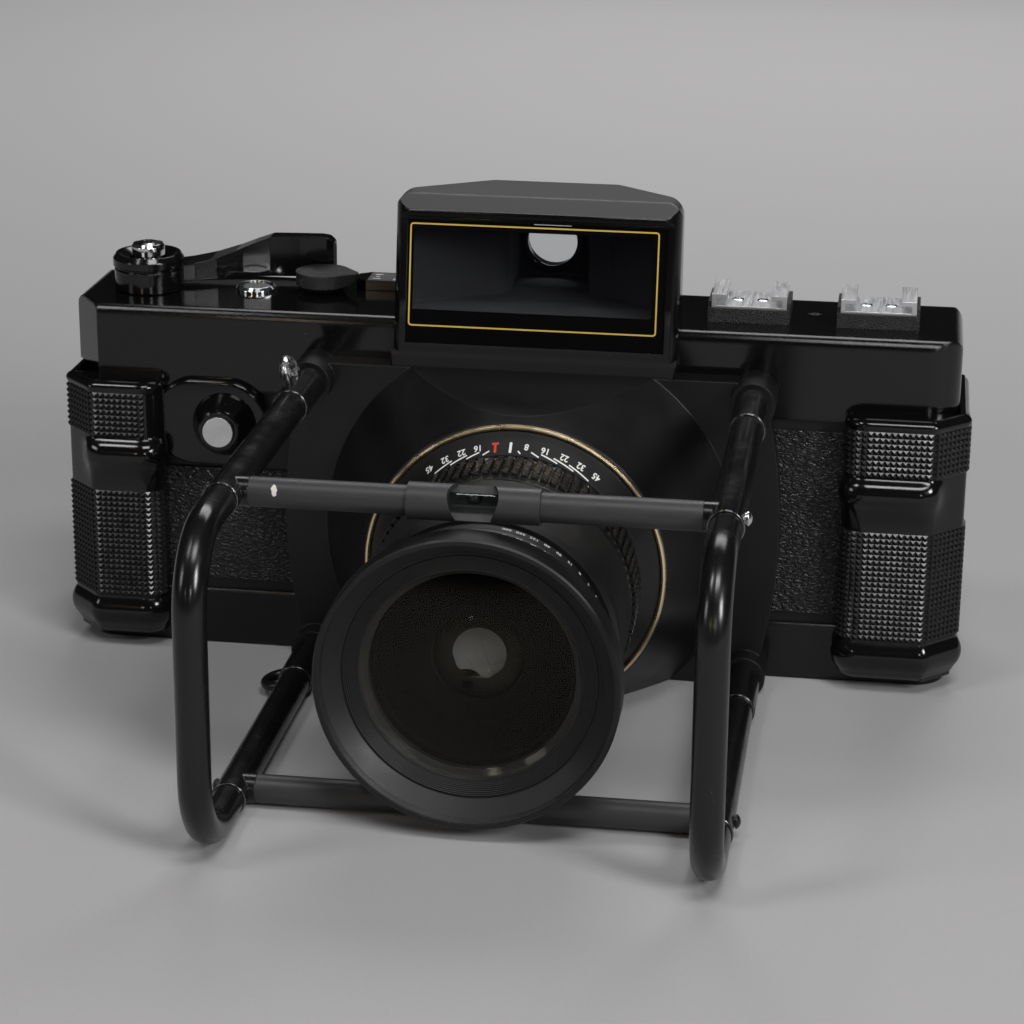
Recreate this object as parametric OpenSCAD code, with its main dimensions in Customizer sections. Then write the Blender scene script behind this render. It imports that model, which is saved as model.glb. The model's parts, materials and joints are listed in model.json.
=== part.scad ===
// Panoramic roll-film camera with a tube guard around the lens.
// Millimetres. X to the right seen from the front, Y to the back, Z up.
// The origin is the tripod socket in the base; the lens axis is at x = 0.

/* [Body] */
// Width of the top cover
body_w = 259; // [255:1:266]
// Depth of the body under the top cover
body_d = 44; // [43:0.5:50]
// Distance of the lens axis from the middle of the body
lens_off = 7.6; // [6.6:0.1:9]
// Height of the flat top of the cover
cover_top = 104; // [101:0.5:108]
// Height of the seam under the top cover
seam_top = 79.4; // [79:0.1:81]
// Height of the seam over the bottom cover
seam_low = 17; // [14:0.5:18]
// Wall of the top cover
cover_wall = 2; // [1.6:0.1:2.4]
// How far the grips stand out in front of the body
grip_out = 9; // [7:0.5:12]
// Width of the grip on the release side
grip_rel_w = 30; // [27:0.5:33]
// Width of the plain grip
grip_plain_w = 35; // [31:0.5:38]

/* [Film path] */
// Width of the picture gate
gate_w = 168; // [160:1:170]
// Height of the picture gate
gate_h = 56; // [52:0.5:57]
// Radius of the spool flanges
spool_r = 12.4; // [11.5:0.1:12.6]
// Thickness of the back door
door_t = 9.6; // [8.6:0.1:12]

/* [Lens] */
// Height of the lens axis
lens_z = 42.9; // [42:0.1:43.6]
// Distance of the front rim ahead of the body's middle
lens_front = 147.4; // [145:0.2:150]
// Outer radius of the front ring
front_r = 39.65; // [39.4:0.05:41]
// Radius of the filter thread
filter_r = 38.1; // [37.6:0.1:38.2]
// Radius of the focusing ring over its ribs
focus_r = 36.8; // [36.2:0.1:37.6]
// Radius of the smooth barrel
barrel_r = 36; // [35.2:0.1:36.6]
// Radius of the front glass
glass_r = 28.7; // [27:0.1:29.4]

/* [Front plate and guard] */
// Half the width of the front plate at its middle
plate_hw = 72.5; // [71.5:0.1:74]
// Thickness of the front plate
plate_t = 7.8; // [7:0.2:9]
// Height of the front plate
plate_top = 91.8; // [91:0.2:93]
// Half the distance between the guard's legs
leg_x = 63.9; // [63:0.1:65]
// Height of the upper legs
leg_zu = 87.3; // [86.5:0.1:88]
// Radius of the bent tubes
tube_r = 4.3; // [4.2:0.05:4.5]
// Distance of the guard's front tube ahead of the lens's front rim
guard_front = 26.6; // [22.6:0.5:32.6]
// Radius of the tube bends
bend_r = 20; // [16:0.5:22]

/* [Finder] */
// Half the width of the finder's front
finder_hw = 41.2; // [39.2:0.2:43]
// Height of the finder's roof
finder_top = 140; // [138:0.5:146]
// Radius of the eyepiece opening
eye_r = 8; // [7:0.1:8.6]

/* [Fits] */
// Radial clearance of turning and sliding pieces
run_gap = 0.06; // [0.03:0.01:0.09]
// Clearance between fixed pieces that slip together
slip = 0.05; // [0.03:0.01:0.08]

/* [Hidden] */
$fn = 96;
cx = -lens_off;
xl = cx - body_w / 2;
xr = cx + body_w / 2;
yf = -body_d / 2;
yb = body_d / 2;
skin = 1.3;
ybf = yf + skin;
floor_t = 2;
cav_z0 = 8;
cav_z1 = seam_top - 2.4;
light_x = gate_w / 2 + 2;
film_y = yb - 2;
end_wall = 3;
plate_y = yf - plate_t;
grip_y = yf - grip_out;
grip_end = 3;
grip_in = 6.5;
pad_t = 0.85;
pad_margin = 4.4;
grip_flat = 9.5;
grip_ease = 3;
ridge_r = 5;
ridge_in = 1.8;
ridge_run = 11.2;
grip_z0 = 3.6;
grip_z1 = seam_top + 4;
// release end of the top cover, which stands out over the grip
end_over = 2.9;
end_front = 7;
end_slant = 14.5;
end_gap = 0.15;
// film spools
spool_z0 = lens_z - 32.9;
spool_z1 = lens_z + 32.9;
core_r = 6;
stud_r = 2.5;
hub_x = xl + 17.1;
hub_y = 0;
supply_x = (light_x + 2 + xr - end_wall) / 2;
roller_r = 2.6;
roller_x = light_x + 2 + 3.4;
roller_y = film_y - roller_r;
// counter gear train
gear_m = 0.8;
wind_z = 15;
idle_z = 20;
count_z = 30;
count_x = hub_x + 32;
count_y = 3;
gear_z0 = seam_top + 3.6;
gear_t = 3;
d_wi = gear_m * (wind_z + idle_z) / 2;
d_ic = gear_m * (idle_z + count_z) / 2;
d_wc = norm([count_x - hub_x, count_y - hub_y]);
a_wc = atan2(count_y - hub_y, count_x - hub_x);
a_wi = a_wc + acos((d_wi * d_wi + d_wc * d_wc - d_ic * d_ic) / (2 * d_wi * d_wc));
idle_x = hub_x + d_wi * cos(a_wi);
idle_y = hub_y + d_wi * sin(a_wi);
a_ic = atan2(count_y - idle_y, count_x - idle_x);
ph_idle = a_wi + 180 - (0.5 - a_wi / (360 / wind_z)) * 360 / idle_z;
u_idle = (a_ic - ph_idle) / (360 / idle_z);
ph_count = a_ic + 180 - (0.5 - u_idle) * 360 / count_z;
mech_t = 1.6;
post_r = 1.5;
// lens stations, counted forward from the body's middle
ring_depth = 9.5;
front_len = 29.4;
thread_l = 3.2;
bar_gap = 0.1;
ring_room = 0.7;
leg_past = 8;
leg_zl = tube_r;
sleeve_out = tube_r - 0.4;
level_r = tube_r + 0.5;
neck_h = lens_front - ring_depth;
bar_h = neck_h - level_r - bar_gap;
guard_h = lens_front + guard_front;
cone_h = 60;
cone_r0 = 60.2;
cone_r1 = 43.2;
cone_w = 3;
trim_r = 42.05;
trim_w = 1.7;
mount_r = 38.4;
sleeve_r = 33.8;
tube_out = 32.6;
tube_in = 29.6;
scale_h = 67.8;
foc_h0 = scale_h + 0.4;
foc_h1 = 86.8;
bar_h0 = 88;
bar_h1 = lens_front - front_len;
ring_r = lens_z - leg_zl - sleeve_out - ring_room;
ring_bore = 32.2;
neck_r = ring_r - 0.4;
speed_h0 = bar_h1 + 0.3;
speed_h1 = speed_h0 + 3.8;
aper_h0 = speed_h1 + 0.3;
aper_h1 = aper_h0 + 3.8;
fr_h0 = aper_h1 + 0.3;
fr_h1 = lens_front;
glass_sag = 2.6;
glass_h0 = lens_front - ring_depth - 2.7;
glass_h1 = lens_front - thread_l - glass_sag - 1.7;
cell_h = fr_h0 - 4.3;
iris_h = cell_h - 1.6;
// guard
leg_r = tube_r + 0.25;
leg_h0 = -plate_y + 6.4;
collar_l = 24;
collar_r = leg_r + 0.6;
leg_h1 = bar_h + leg_past;
boss_r = 6.4;
rod_r = 3;
sock_x = leg_x - 6;
level_l = 17;
lug_r = 5.1;
lug_wire = 1.5;
lug_rise = 0.6;
// finder
fin_edge = 6;
fin_lip = 1.4;
fin_side = 3.8;
fin_wall = 2.2;
fin_sill = 4;
fin_brow = 6;
eye_x = -1.5;
eye_z = 117;
fin_front = -plate_y - 0.2;
fin_back = yb + 8;
// controls
rel_x = xl + 45.4;
rel_z = seam_top - 9.2;
rel_plate_r = 13;
sel_x = hub_x + 52;
sel_y = 6;
hub_top = cover_top + 11;
door_y0 = yb + 0.4;
door_y1 = door_y0 + door_t;
door_z0 = 2.4;
door_z1 = seam_top - 0.9;
hinge_x = xl - 1.5;
hinge_y = yb + 4.5;
knuckle_r = 3.6;
pin_r = 1.5;
door_xr = xr + 1.9;

black = [0.06, 0.06, 0.065];
satin = [0.11, 0.11, 0.115];
rubber = [0.08, 0.08, 0.08];
steel = [0.72, 0.73, 0.75];
gold = [0.80, 0.68, 0.42];
clear = [0.75, 0.85, 0.9];

// Plan of a rectangle with its own radius at each corner
module rounded(x0, y0, x1, y1, ra, rb, rc, rd) {
    difference() {
        translate([x0, y0])
            square([x1 - x0, y1 - y0]);
        nick(x0, y0, ra, 1, 1);
        nick(x1, y0, rb, -1, 1);
        nick(x1, y1, rc, -1, -1);
        nick(x0, y1, rd, 1, -1);
    }
}

// What a corner radius takes away
module nick(x, y, r, sx, sy) {
    if (r > 0)
        translate([x, y])
            mirror([sx < 0 ? 1 : 0, 0])
                mirror([0, sy < 0 ? 1 : 0])
                    difference() {
                        translate([-1, -1])
                            square([r + 1, r + 1]);
                        translate([r, r])
                            circle(r);
                    }
}

// A plan in X and Z drawn out along Y
module along_y(y0, y1) {
    translate([0, y1, 0])
        rotate([90, 0, 0])
            linear_extrude(y1 - y0)
                children();
}

// A side view in Y and Z drawn out along X
module along_x(x0, x1) {
    translate([x0, 0, 0])
        rotate([90, 0, 90])
            linear_extrude(x1 - x0)
                children();
}

// A plan in X and Y drawn out along Z
module along_z(z0, z1) {
    translate([0, 0, z0])
        linear_extrude(z1 - z0)
            children();
}

// Turned shape on the lens axis, radius against distance forward
module turned() {
    translate([0, 0, lens_z])
        rotate([90, 0, 0])
            rotate_extrude()
                children();
}

// Cylinder lying along Y from y0 to y1
module rod_y(x, z, y0, y1, r) {
    translate([x, y1, z])
        rotate([90, 0, 0])
            cylinder(h = y1 - y0, r = r);
}

// Cylinder lying along X from x0 to x1
module rod_x(x0, x1, y, z, r) {
    translate([x0, y, z])
        rotate([0, 90, 0])
            cylinder(h = x1 - x0, r = r);
}

// Upright cylinder
module rod_z(x, y, z0, z1, r) {
    translate([x, y, z0])
        cylinder(h = z1 - z0, r = r);
}

// Flat outline of a spur gear with one tooth on the X axis
module gear_plan(z) {
    pr = gear_m * z / 2;
    tip = pr + 0.8 * gear_m;
    root = pr - 1.15 * gear_m;
    half = 0.20 * 3.1416 * gear_m;
    circle(root);
    for (k = [0 : z - 1])
        rotate(k * 360 / z)
            polygon([[root - 0.4, -half - 0.34], [pr, -half], [tip, -half + 0.22],
                [tip, half - 0.22], [pr, half], [root - 0.4, half + 0.34]]);
}

// Body, covers and base

module spool_stud(x) {
    rod_z(x, hub_y, cav_z0 - 1, cav_z0 + 5, stud_r);
    rod_z(x, hub_y, cav_z0 - 1, spool_z0 - 0.05, 4.6);
}

module hinge_block(z0, z1) {
    difference() {
        union() {
            rod_z(hinge_x, hinge_y, z0, z1, knuckle_r);
            translate([hinge_x - 0.4, yb - 0.5, z0])
                cube([5.5, 5, z1 - z0]);
        }
        rod_z(hinge_x, hinge_y, z0 - 1, z1 + 1, pin_r + slip);
    }
}

module body_shell() {
    color(satin) {
        difference() {
            translate([xl + 1, ybf, floor_t])
                cube([body_w - 2, yb - ybf, seam_top - floor_t]);
            translate([-light_x, ybf + 3, cav_z0])
                cube([2 * light_x, body_d, cav_z1 - cav_z0]);
            translate([light_x + 2, ybf + 3, cav_z0])
                cube([xr - end_wall - light_x - 2, body_d, cav_z1 - cav_z0]);
            translate([xl + end_wall, ybf + 3, cav_z0])
                cube([-light_x - 2 - xl - end_wall, body_d, cav_z1 - cav_z0]);
            translate([xl + end_wall, film_y - 3, cav_z0])
                cube([body_w - 2 * end_wall, body_d, cav_z1 - cav_z0]);
            translate([-55, ybf - 1, lens_z - 24])
                cube([110, 5, 48]);
            rod_z(hub_x, hub_y, cav_z1 - 1, seam_top + 1, 4.2 + run_gap);
            rod_z(0, 0, floor_t - 1, 6.2, 9 + slip);
            rod_z(20, 0, floor_t - 1, 6.2, 9 + slip);
            for (x = [-roller_x, roller_x]) {
                rod_z(x, roller_y, cav_z0 - 2, cav_z0 + 1, 1.2 + run_gap);
                rod_z(x, roller_y, cav_z1 - 1, cav_z1 + 1.6, 1.2 + run_gap);
            }
        }
        spool_stud(supply_x);
        spool_stud(hub_x);
        rod_z(supply_x, hub_y, spool_z1 - 5, cav_z1 + 1, stud_r);
        hinge_block(9, 21.6);
        hinge_block(58.4, 71);
    }
}

module mech_plate() {
    color(steel)
        difference() {
            union() {
                along_z(seam_top, seam_top + mech_t)
                    rounded(xl + 4.5, yf + 5, hub_x + 66, yb - 5, 7, 3, 3, 3);
                rod_z(idle_x, idle_y, seam_top + mech_t - 0.5, gear_z0 + gear_t + 1, post_r);
                rod_z(idle_x, idle_y, seam_top + mech_t - 0.5, gear_z0 - 0.3, 3);
                rod_z(count_x, count_y, seam_top + mech_t - 0.5, gear_z0 + gear_t + 6, post_r);
                rod_z(count_x, count_y, seam_top + mech_t - 0.5, gear_z0 - 0.3, 3);
            }
            rod_z(hub_x, hub_y, seam_top - 1, seam_top + 5, 4.2 + run_gap);
        }
}

// Plan of the top cover, whose front corner is slanted at the release end
module cover_plan(d, out) {
    slant = norm([end_slant, end_over + end_front]);
    nx = end_slant / slant;
    ny = (end_over + end_front) / slant;
    x0 = xl - end_over;
    xa = xl + end_front + d * (1 - ny) / nx;
    yc = yf + end_slant + d * (1 - nx) / ny;
    intersection() {
        difference() {
            rounded(x0 + d, yf + d, xr - d, yb - d, 0, 9 - d, 6 - d, 6 - d);
            polygon([[x0 - 1, yf - 1], [xa, yf - 1], [xa, yf + d], [x0 + d, yc], [x0 - 1, yc]]);
        }
        translate([xl - out + d, yf - 1])
            square([body_w + end_over, body_d + 2]);
    }
}

module cover_form(d, z0) {
    intersection() {
        union() {
            along_z(z0, cover_top - d)
                cover_plan(d, 0);
            along_z(grip_z1 + end_gap + d, cover_top - d)
                cover_plan(d, end_over);
        }
        along_x(xl - 10, xr + 1)
            rounded(yf + d, z0 - 1, yb - d, cover_top - d, 0, 0, 3.2 - d / 2, 2.6 - d / 2);
        along_y(yf - 1, yb + 1)
            rounded(xl - end_over + d, z0 - 1, xr - d, cover_top - d, 0, 0, 4 - d / 2, 4 - d / 2);
    }
}

module top_cover() {
    color(black)
        difference() {
            cover_form(0, seam_top);
            cover_form(cover_wall, seam_top - 1);
            rod_z(hub_x, hub_y, cover_top - 4, cover_top + 1, 4.2 + run_gap);
            rod_z(count_x, count_y, cover_top - 4, cover_top + 1, 4.7);
            rod_z(sel_x, sel_y, cover_top - 4, cover_top + 1, stud_r + run_gap);
        }
}

module bottom_cover() {
    color(black)
        difference() {
            along_z(0, seam_low)
                rounded(xl, yf, xr, yb, 9, 9, 2, 2);
            translate([xl + 1 - slip, ybf - slip, floor_t])
                cube([body_w - 2 + 2 * slip, body_d, seam_low]);
            translate([-31, -16, -1])
                cube([70, 32, floor_t + 2]);
        }
}

module tripod_plate() {
    color(steel)
        difference() {
            union() {
                translate([-31 + slip, -16 + slip, 0])
                    cube([70 - 2 * slip, 32 - 2 * slip, floor_t]);
                rod_z(0, 0, 0, 6, 9);
                rod_z(20, 0, 0, 6, 9);
            }
            rod_z(0, 0, -1, 5.2, 3.175);
            rod_z(20, 0, -1, 5.2, 4.7625);
        }
}

module plate_plan(d) {
    bulge = 166;
    intersection() {
        translate([-plate_hw - 1, d])
            square([2 * plate_hw + 2, plate_top - 2 * d]);
        translate([plate_hw - d - bulge, 46])
            circle(bulge, $fn = 360);
        translate([-plate_hw + d + bulge, 46])
            circle(bulge, $fn = 360);
    }
}

module cone_side(d) {
    polygon([[plate_y + 1, d], [plate_y + 1, plate_top - d], [plate_y, plate_top - d],
        [-cone_h - 1, plate_top - 4.9 - d], [-cone_h - 1, d]]);
}

module front_plate() {
    color(satin)
        difference() {
            union() {
                along_y(plate_y, yf)
                    plate_plan(0);
                intersection() {
                    turned()
                        polygon([[0, -plate_y - 0.5], [cone_r0 + 0.3, -plate_y - 0.5],
                            [cone_r1, cone_h], [0, cone_h]]);
                    along_x(-80, 80)
                        cone_side(0);
                }
                translate([-55 + slip, yf - 1, lens_z - 24 + slip])
                    cube([110 - 2 * slip, 1 + skin + 3, 48 - 2 * slip]);
                for (x = [-leg_x, leg_x])
                    rod_y(x, leg_zu, -leg_h0, yf, boss_r);
                intersection() {
                    union()
                        for (x = [-leg_x, leg_x])
                            rod_y(x, leg_zl, -leg_h0, yf, boss_r);
                    translate([-100, -100, 0])
                        cube([200, 200, 50]);
                }
            }
            intersection() {
                turned()
                    polygon([[0, -plate_y - 1], [cone_r0 - cone_w, -plate_y - 1],
                        [cone_r1 - cone_w, cone_h - 3], [0, cone_h - 3]]);
                along_x(-80, 80)
                    cone_side(cone_w);
            }
            turned()
                square([mount_r, cone_h + 1]);
            translate([-51, plate_y - 2, lens_z - 20])
                cube([102, plate_t + 9, 40]);
            for (x = [-leg_x, leg_x])
                for (z = [leg_zu, leg_zl])
                    rod_y(x, z, -leg_h0 - 1, -leg_h0 + 9, rod_r + slip);
        }
}

module leather_panels() {
    color(rubber) {
        along_y(ybf - 0.9, ybf)
            translate([xl + 23, seam_low + 3.4])
                square([-xl - 23 - plate_hw + 5, seam_top - 24 - seam_low - 3.4]);
        along_y(ybf - 0.9, ybf)
            translate([plate_hw - 4, seam_low + 3.4])
                square([xr + grip_end - grip_plain_w + 3 - plate_hw + 4, seam_top - seam_low - 6.8]);
    }
}

// Grips. The grip is drawn at the right and mirrored for the release side.

// Plan of a grip, drawn out by d: round inner corner, slanted flat with eased edges at the outer one
module grip_plan(w, d) {
    x0 = xr + grip_end - w - d;
    x1 = xr + grip_end + d;
    y0 = grip_y - d;
    f = grip_flat + 0.586 * d;
    t = 0.414 * grip_ease;
    c = 0.707 * t;
    difference() {
        rounded(x0, y0, x1, yb - 1, grip_in + d, 0, 3, 0);
        polygon([[x1 - f - t, y0 - 1], [x1 - f - t, y0], [x1 - f + c, y0 + c],
            [x1 - c, y0 + f - c], [x1, y0 + f + t], [x1 + 1, y0 + f + t], [x1 + 1, y0 - 1]]);
    }
    translate([x1 - f - t, y0 + grip_ease])
        circle(grip_ease);
    translate([x1 - grip_ease, y0 + f + t])
        circle(grip_ease);
}

// Side view of the finger ridge: a round nose that runs out below in a hollow
module ridge_side(z) {
    hollow = (ridge_run * ridge_run + ridge_in * ridge_in - ridge_r * ridge_r) / (2 * (ridge_r - ridge_in));
    meet_y = ridge_in - ridge_r * (hollow + ridge_in) / (hollow + ridge_r);
    meet_z = ridge_r * ridge_run / (hollow + ridge_r);
    translate([grip_y, z]) {
        translate([ridge_in, 0])
            circle(ridge_r);
        difference() {
            polygon([[6, 0], [ridge_in, 0], [meet_y, -meet_z], [0, -ridge_run], [6, -ridge_run]]);
            translate([-hollow, -ridge_run])
                circle(hollow);
        }
    }
}

module grip_form(w) {
    x0 = xr + grip_end - w;
    difference() {
        intersection() {
            union() {
                along_z(grip_z0, grip_z1)
                    grip_plan(w, 0);
                intersection() {
                    along_z(grip_z0, grip_z1)
                        rounded(x0, grip_y - 4, xr + grip_end - 5, yb - 1, grip_in, 9, 0, 0);
                    along_x(xr - 60, xr + 20) {
                        ridge_side(seam_top - 18.4);
                        translate([grip_y + 4, 10.2])
                            circle(5);
                    }
                }
            }
            along_x(xr - 60, xr + 20)
                rounded(grip_y - 6, grip_z0, yb + 2, grip_z1, 7, 0, 0, 5);
        }
        translate([xr - 80, yf, grip_z0 - 1])
            cube([80 + 0.15, body_d + 9, grip_z1]);
    }
}

module pad_form(w, z0, z1, margin) {
    g0 = xr + grip_end - w;
    intersection() {
        difference() {
            along_z(z0, z1)
                grip_plan(w, pad_t);
            along_z(z0 - 1, z1 + 1)
                grip_plan(w, slip);
        }
        union() {
            translate([margin > 0 ? g0 + margin : g0 - 2, grip_y - 2, z0])
                cube([w - margin, 6.8, z1 - z0]);
            translate([g0 + w / 2, grip_y - 2, z0])
                cube([w / 2 + 2, 20, z1 - z0]);
        }
    }
}

module pad_pair(w, margin) {
    pad_form(w, seam_top - 13.2, seam_top + 0.4, margin);
    pad_form(w, 16.5, seam_top - 29.8, 0);
}

module grip_plain_side() {
    color(black)
        grip_form(grip_plain_w);
}

module pads_plain_side() {
    color(rubber)
        pad_pair(grip_plain_w, 0);
}

module grip_release_side() {
    color(black)
        difference() {
            union() {
                translate([2 * cx, 0, 0])
                    mirror([1, 0, 0])
                        grip_form(grip_rel_w);
                along_y(yf - 3, ybf) {
                    translate([rel_x, rel_z])
                        circle(rel_plate_r);
                    translate([xl - grip_end + grip_rel_w - 2, rel_z - rel_plate_r])
                        square([rel_x - xl + grip_end - grip_rel_w + 2, 2 * rel_plate_r]);
                }
            }
            rod_y(rel_x, rel_z, yf - 5, yb, 3.4 + slip);
            translate([xl, ybf, 0])
                cube([body_w, body_d, 200]);
            translate([xl - 1, yf, seam_top - slip])
                cube([body_w, body_d, 50]);
        }
}

module pads_release_side() {
    color(rubber)
        translate([2 * cx, 0, 0])
            mirror([1, 0, 0])
                pad_pair(grip_rel_w, pad_margin);
}

// Film path

module film_gate() {
    color(satin)
        along_y(film_y - 3, film_y)
            difference() {
                translate([-light_x - 1.9, cav_z0 + slip])
                    square([2 * light_x + 3.8, cav_z1 - cav_z0 - 2 * slip]);
                translate([-gate_w / 2, lens_z - gate_h / 2])
                    square([gate_w, gate_h]);
            }
}

module roller(x) {
    rod_z(x, roller_y, cav_z0 + 0.5, cav_z1 - 0.5, roller_r);
    rod_z(x, roller_y, cav_z0 - 1.9, cav_z1 + 1.5, 1.2);
}

module roller_left() {
    color(steel)
        roller(-roller_x);
}

module roller_right() {
    color(steel)
        roller(roller_x);
}

module spool(x, top_bore) {
    difference() {
        union() {
            rod_z(x, hub_y, spool_z0, spool_z0 + 1.6, spool_r);
            rod_z(x, hub_y, spool_z1 - 1.6, spool_z1, spool_r);
            rod_z(x, hub_y, spool_z0, spool_z1, core_r);
        }
        rod_z(x, hub_y, spool_z0 - 1, spool_z0 + 6, stud_r + run_gap);
        rod_z(x, hub_y, spool_z1 - 6, spool_z1 + 1, top_bore);
        translate([x - 0.7, hub_y - 8, spool_z0 + 14])
            cube([1.4, 16, spool_z1 - spool_z0 - 28]);
    }
}

module supply_spool() {
    color(satin)
        spool(supply_x, stud_r + run_gap);
}

module takeup_spool() {
    color(satin)
        spool(hub_x, stud_r + slip);
}

// Accessory shoes

shoe_at = [xr - 61.6, xr - 24.5];
shoe_y0 = yf + 12;
shoe_y1 = yf + 29;
shoe_h = 4.2;

module shoe_bases() {
    color(black)
        for (x = shoe_at) {
            translate([x - 11.8, shoe_y0, cover_top])
                cube([23.6, shoe_y1 - shoe_y0, shoe_h]);
            for (s = [-11.8, 10.9])
                translate([x + s, shoe_y0 + 1.5, cover_top + shoe_h - 0.5])
                    cube([0.9, shoe_y1 - shoe_y0 - 1.5, 2.1]);
        }
}

module shoe_rails() {
    z0 = cover_top + shoe_h;
    color(steel)
        for (x = shoe_at)
            along_y(shoe_y0 + 0.8, shoe_y1 + 1.2)
                polygon([[x - 10.8, z0], [x + 10.8, z0], [x + 10.8, z0 + 4], [x + 6.4, z0 + 4],
                    [x + 6.4, z0 + 2.6], [x + 9.4, z0 + 2.6], [x + 9.4, z0 + 0.6],
                    [x - 9.4, z0 + 0.6], [x - 9.4, z0 + 2.6], [x - 6.4, z0 + 2.6],
                    [x - 6.4, z0 + 4], [x - 10.8, z0 + 4]]);
}

// Finder

module finder_plan(side, d) {
    w = finder_hw - side;
    polygon([[-w, -fin_front - 20], [w, -fin_front - 20], [w, yf + 10],
        [20.5 - d, 4.5 - d / 2], [14 - d, 9 - d], [14 - d, fin_back - d], [-14 + d, fin_back - d],
        [-14 + d, 9 - d], [-16 + d, 4.5 - d / 2], [-w, yf + 10]]);
}

// The finder's sloping front runs from the sill at its foot to the brow under its roof
sill_y = -fin_front + 2.4;
sill_z = plate_top + fin_sill;
brow_y = yf + fin_lip;
brow_z = finder_top - fin_brow;
fin_tilt = atan((brow_y - sill_y) / (brow_z - sill_z));

function face_y(z) = sill_y + (brow_y - sill_y) * (z - sill_z) / (brow_z - sill_z);

// Upright edges of the front, rounded along its slope
module finder_edges() {
    translate([0, sill_y, sill_z])
        rotate([-fin_tilt, 0, 0])
            translate([0, 0, -20])
                linear_extrude(90)
                    rounded(-finder_hw, -fin_lip, finder_hw, 90, fin_edge, fin_edge, 0, 0);
    along_z(plate_top - 1, sill_z)
        rounded(-finder_hw, -fin_front - 1, finder_hw, fin_back + 1, 3, 3, 0, 0);
}

module finder_housing() {
    color(black)
        difference() {
            intersection() {
                along_z(plate_top, finder_top)
                    finder_plan(0, 0);
                along_x(-finder_hw - 1, finder_hw + 1)
                    polygon([[-fin_front, plate_top], [-fin_front + 0.6, sill_z - 0.6], [sill_y, sill_z],
                        [brow_y, brow_z], [yf, finder_top - 3.9], [yf + 5.6, finder_top], [4.5, finder_top],
                        [fin_back, finder_top - 9], [fin_back, cover_top], [yf, cover_top], [yf, plate_top]]);
                along_y(-60, 60)
                    rounded(-finder_hw, plate_top - 1, finder_hw, finder_top, 0, 0, 4.5, 4.5);
                finder_edges();
            }
            intersection() {
                along_z(plate_top, finder_top)
                    finder_plan(fin_side, fin_wall);
                along_x(-finder_hw, finder_hw)
                    polygon([[-fin_front - 5, plate_top + 6.4], [-fin_front - 5, brow_z - 0.8],
                        [yf + 3.4, brow_z - 0.8], [yf + 7.4, finder_top - 2.6], [3.9, finder_top - 2.6],
                        [fin_back - fin_wall, finder_top - 11.2], [fin_back - fin_wall, cover_top + fin_wall],
                        [yf + 2.4, cover_top + fin_wall], [yf + 2.4, cover_top + 0.4],
                        [yf - 2, plate_top + 6.4]]);
            }
            rod_y(eye_x, eye_z, fin_back - 5, fin_back + 1, eye_r + 1.4 + slip);
        }
}

module finder_window() {
    za = plate_top + 6.4 + slip;
    zb = brow_z - 0.8 - slip;
    w = finder_hw - fin_side - slip;
    color(clear)
        along_x(-w, w)
            polygon([[face_y(za) + 0.3, za], [face_y(zb) + 0.3, zb], [face_y(zb) + 1.8, zb],
                [face_y(za) + 1.8, za]]);
}

module eyepiece_ring() {
    color(rubber)
        difference() {
            union() {
                rod_y(eye_x, eye_z, fin_back, fin_back + 3.4, eye_r + 3);
                rod_y(eye_x, eye_z, fin_back - 2, fin_back + 1, eye_r + 1.4);
            }
            rod_y(eye_x, eye_z, fin_back - 3, fin_back + 5, eye_r);
        }
}

module eye_lens() {
    color(clear)
        rod_y(eye_x, eye_z, fin_back - 1, fin_back + 1, eye_r - slip);
}

// Lens

module lens_trim_ring() {
    color(gold)
        turned()
            polygon([[trim_r - trim_w / 2, cone_h], [trim_r + trim_w / 2, cone_h],
                [trim_r + trim_w / 2, cone_h + 0.5], [trim_r + 0.55, cone_h + 1.05], [trim_r, cone_h + 1.3],
                [trim_r - 0.55, cone_h + 1.05], [trim_r - trim_w / 2, cone_h + 0.5]]);
}

module depth_scale_ring() {
    color(satin)
        turned()
            polygon([[tube_out + run_gap, 53], [mount_r - slip, 53], [mount_r - slip, cone_h],
                [41.1, cone_h], [41.1, cone_h + 1], [36.4, scale_h], [sleeve_r, scale_h],
                [sleeve_r, foc_h1 - 1], [tube_out + run_gap, foc_h1 - 1]]);
}

module focus_ring() {
    color(rubber)
        turned()
            polygon([[sleeve_r + run_gap, foc_h0], [focus_r - 0.9, foc_h0], [focus_r - 0.9, foc_h0 + 1],
                [focus_r, foc_h0 + 1.6], [focus_r, foc_h1 - 3.2], [focus_r - 1, foc_h1 - 2.6],
                [focus_r - 1, foc_h1], [sleeve_r + run_gap, foc_h1]]);
}

module lens_barrel() {
    color(satin)
        turned()
            polygon([[tube_in, 50], [tube_out, 50], [tube_out, bar_h0], [barrel_r - 0.6, bar_h0],
                [barrel_r, bar_h0 + 0.6], [barrel_r, bar_h1 - 1.4], [barrel_r - 1, bar_h1],
                [ring_bore - run_gap, bar_h1], [ring_bore - run_gap, fr_h0 + 6], [tube_in, fr_h0 + 6]]);
}

module speed_ring() {
    color(satin)
        turned()
            polygon([[ring_bore, speed_h0], [ring_r, speed_h0], [ring_r, speed_h1], [ring_bore, speed_h1]]);
}

module aperture_ring() {
    color(satin)
        turned()
            polygon([[ring_bore, aper_h0], [ring_r, aper_h0], [ring_r - 0.5, aper_h1], [ring_bore, aper_h1]]);
}

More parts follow.
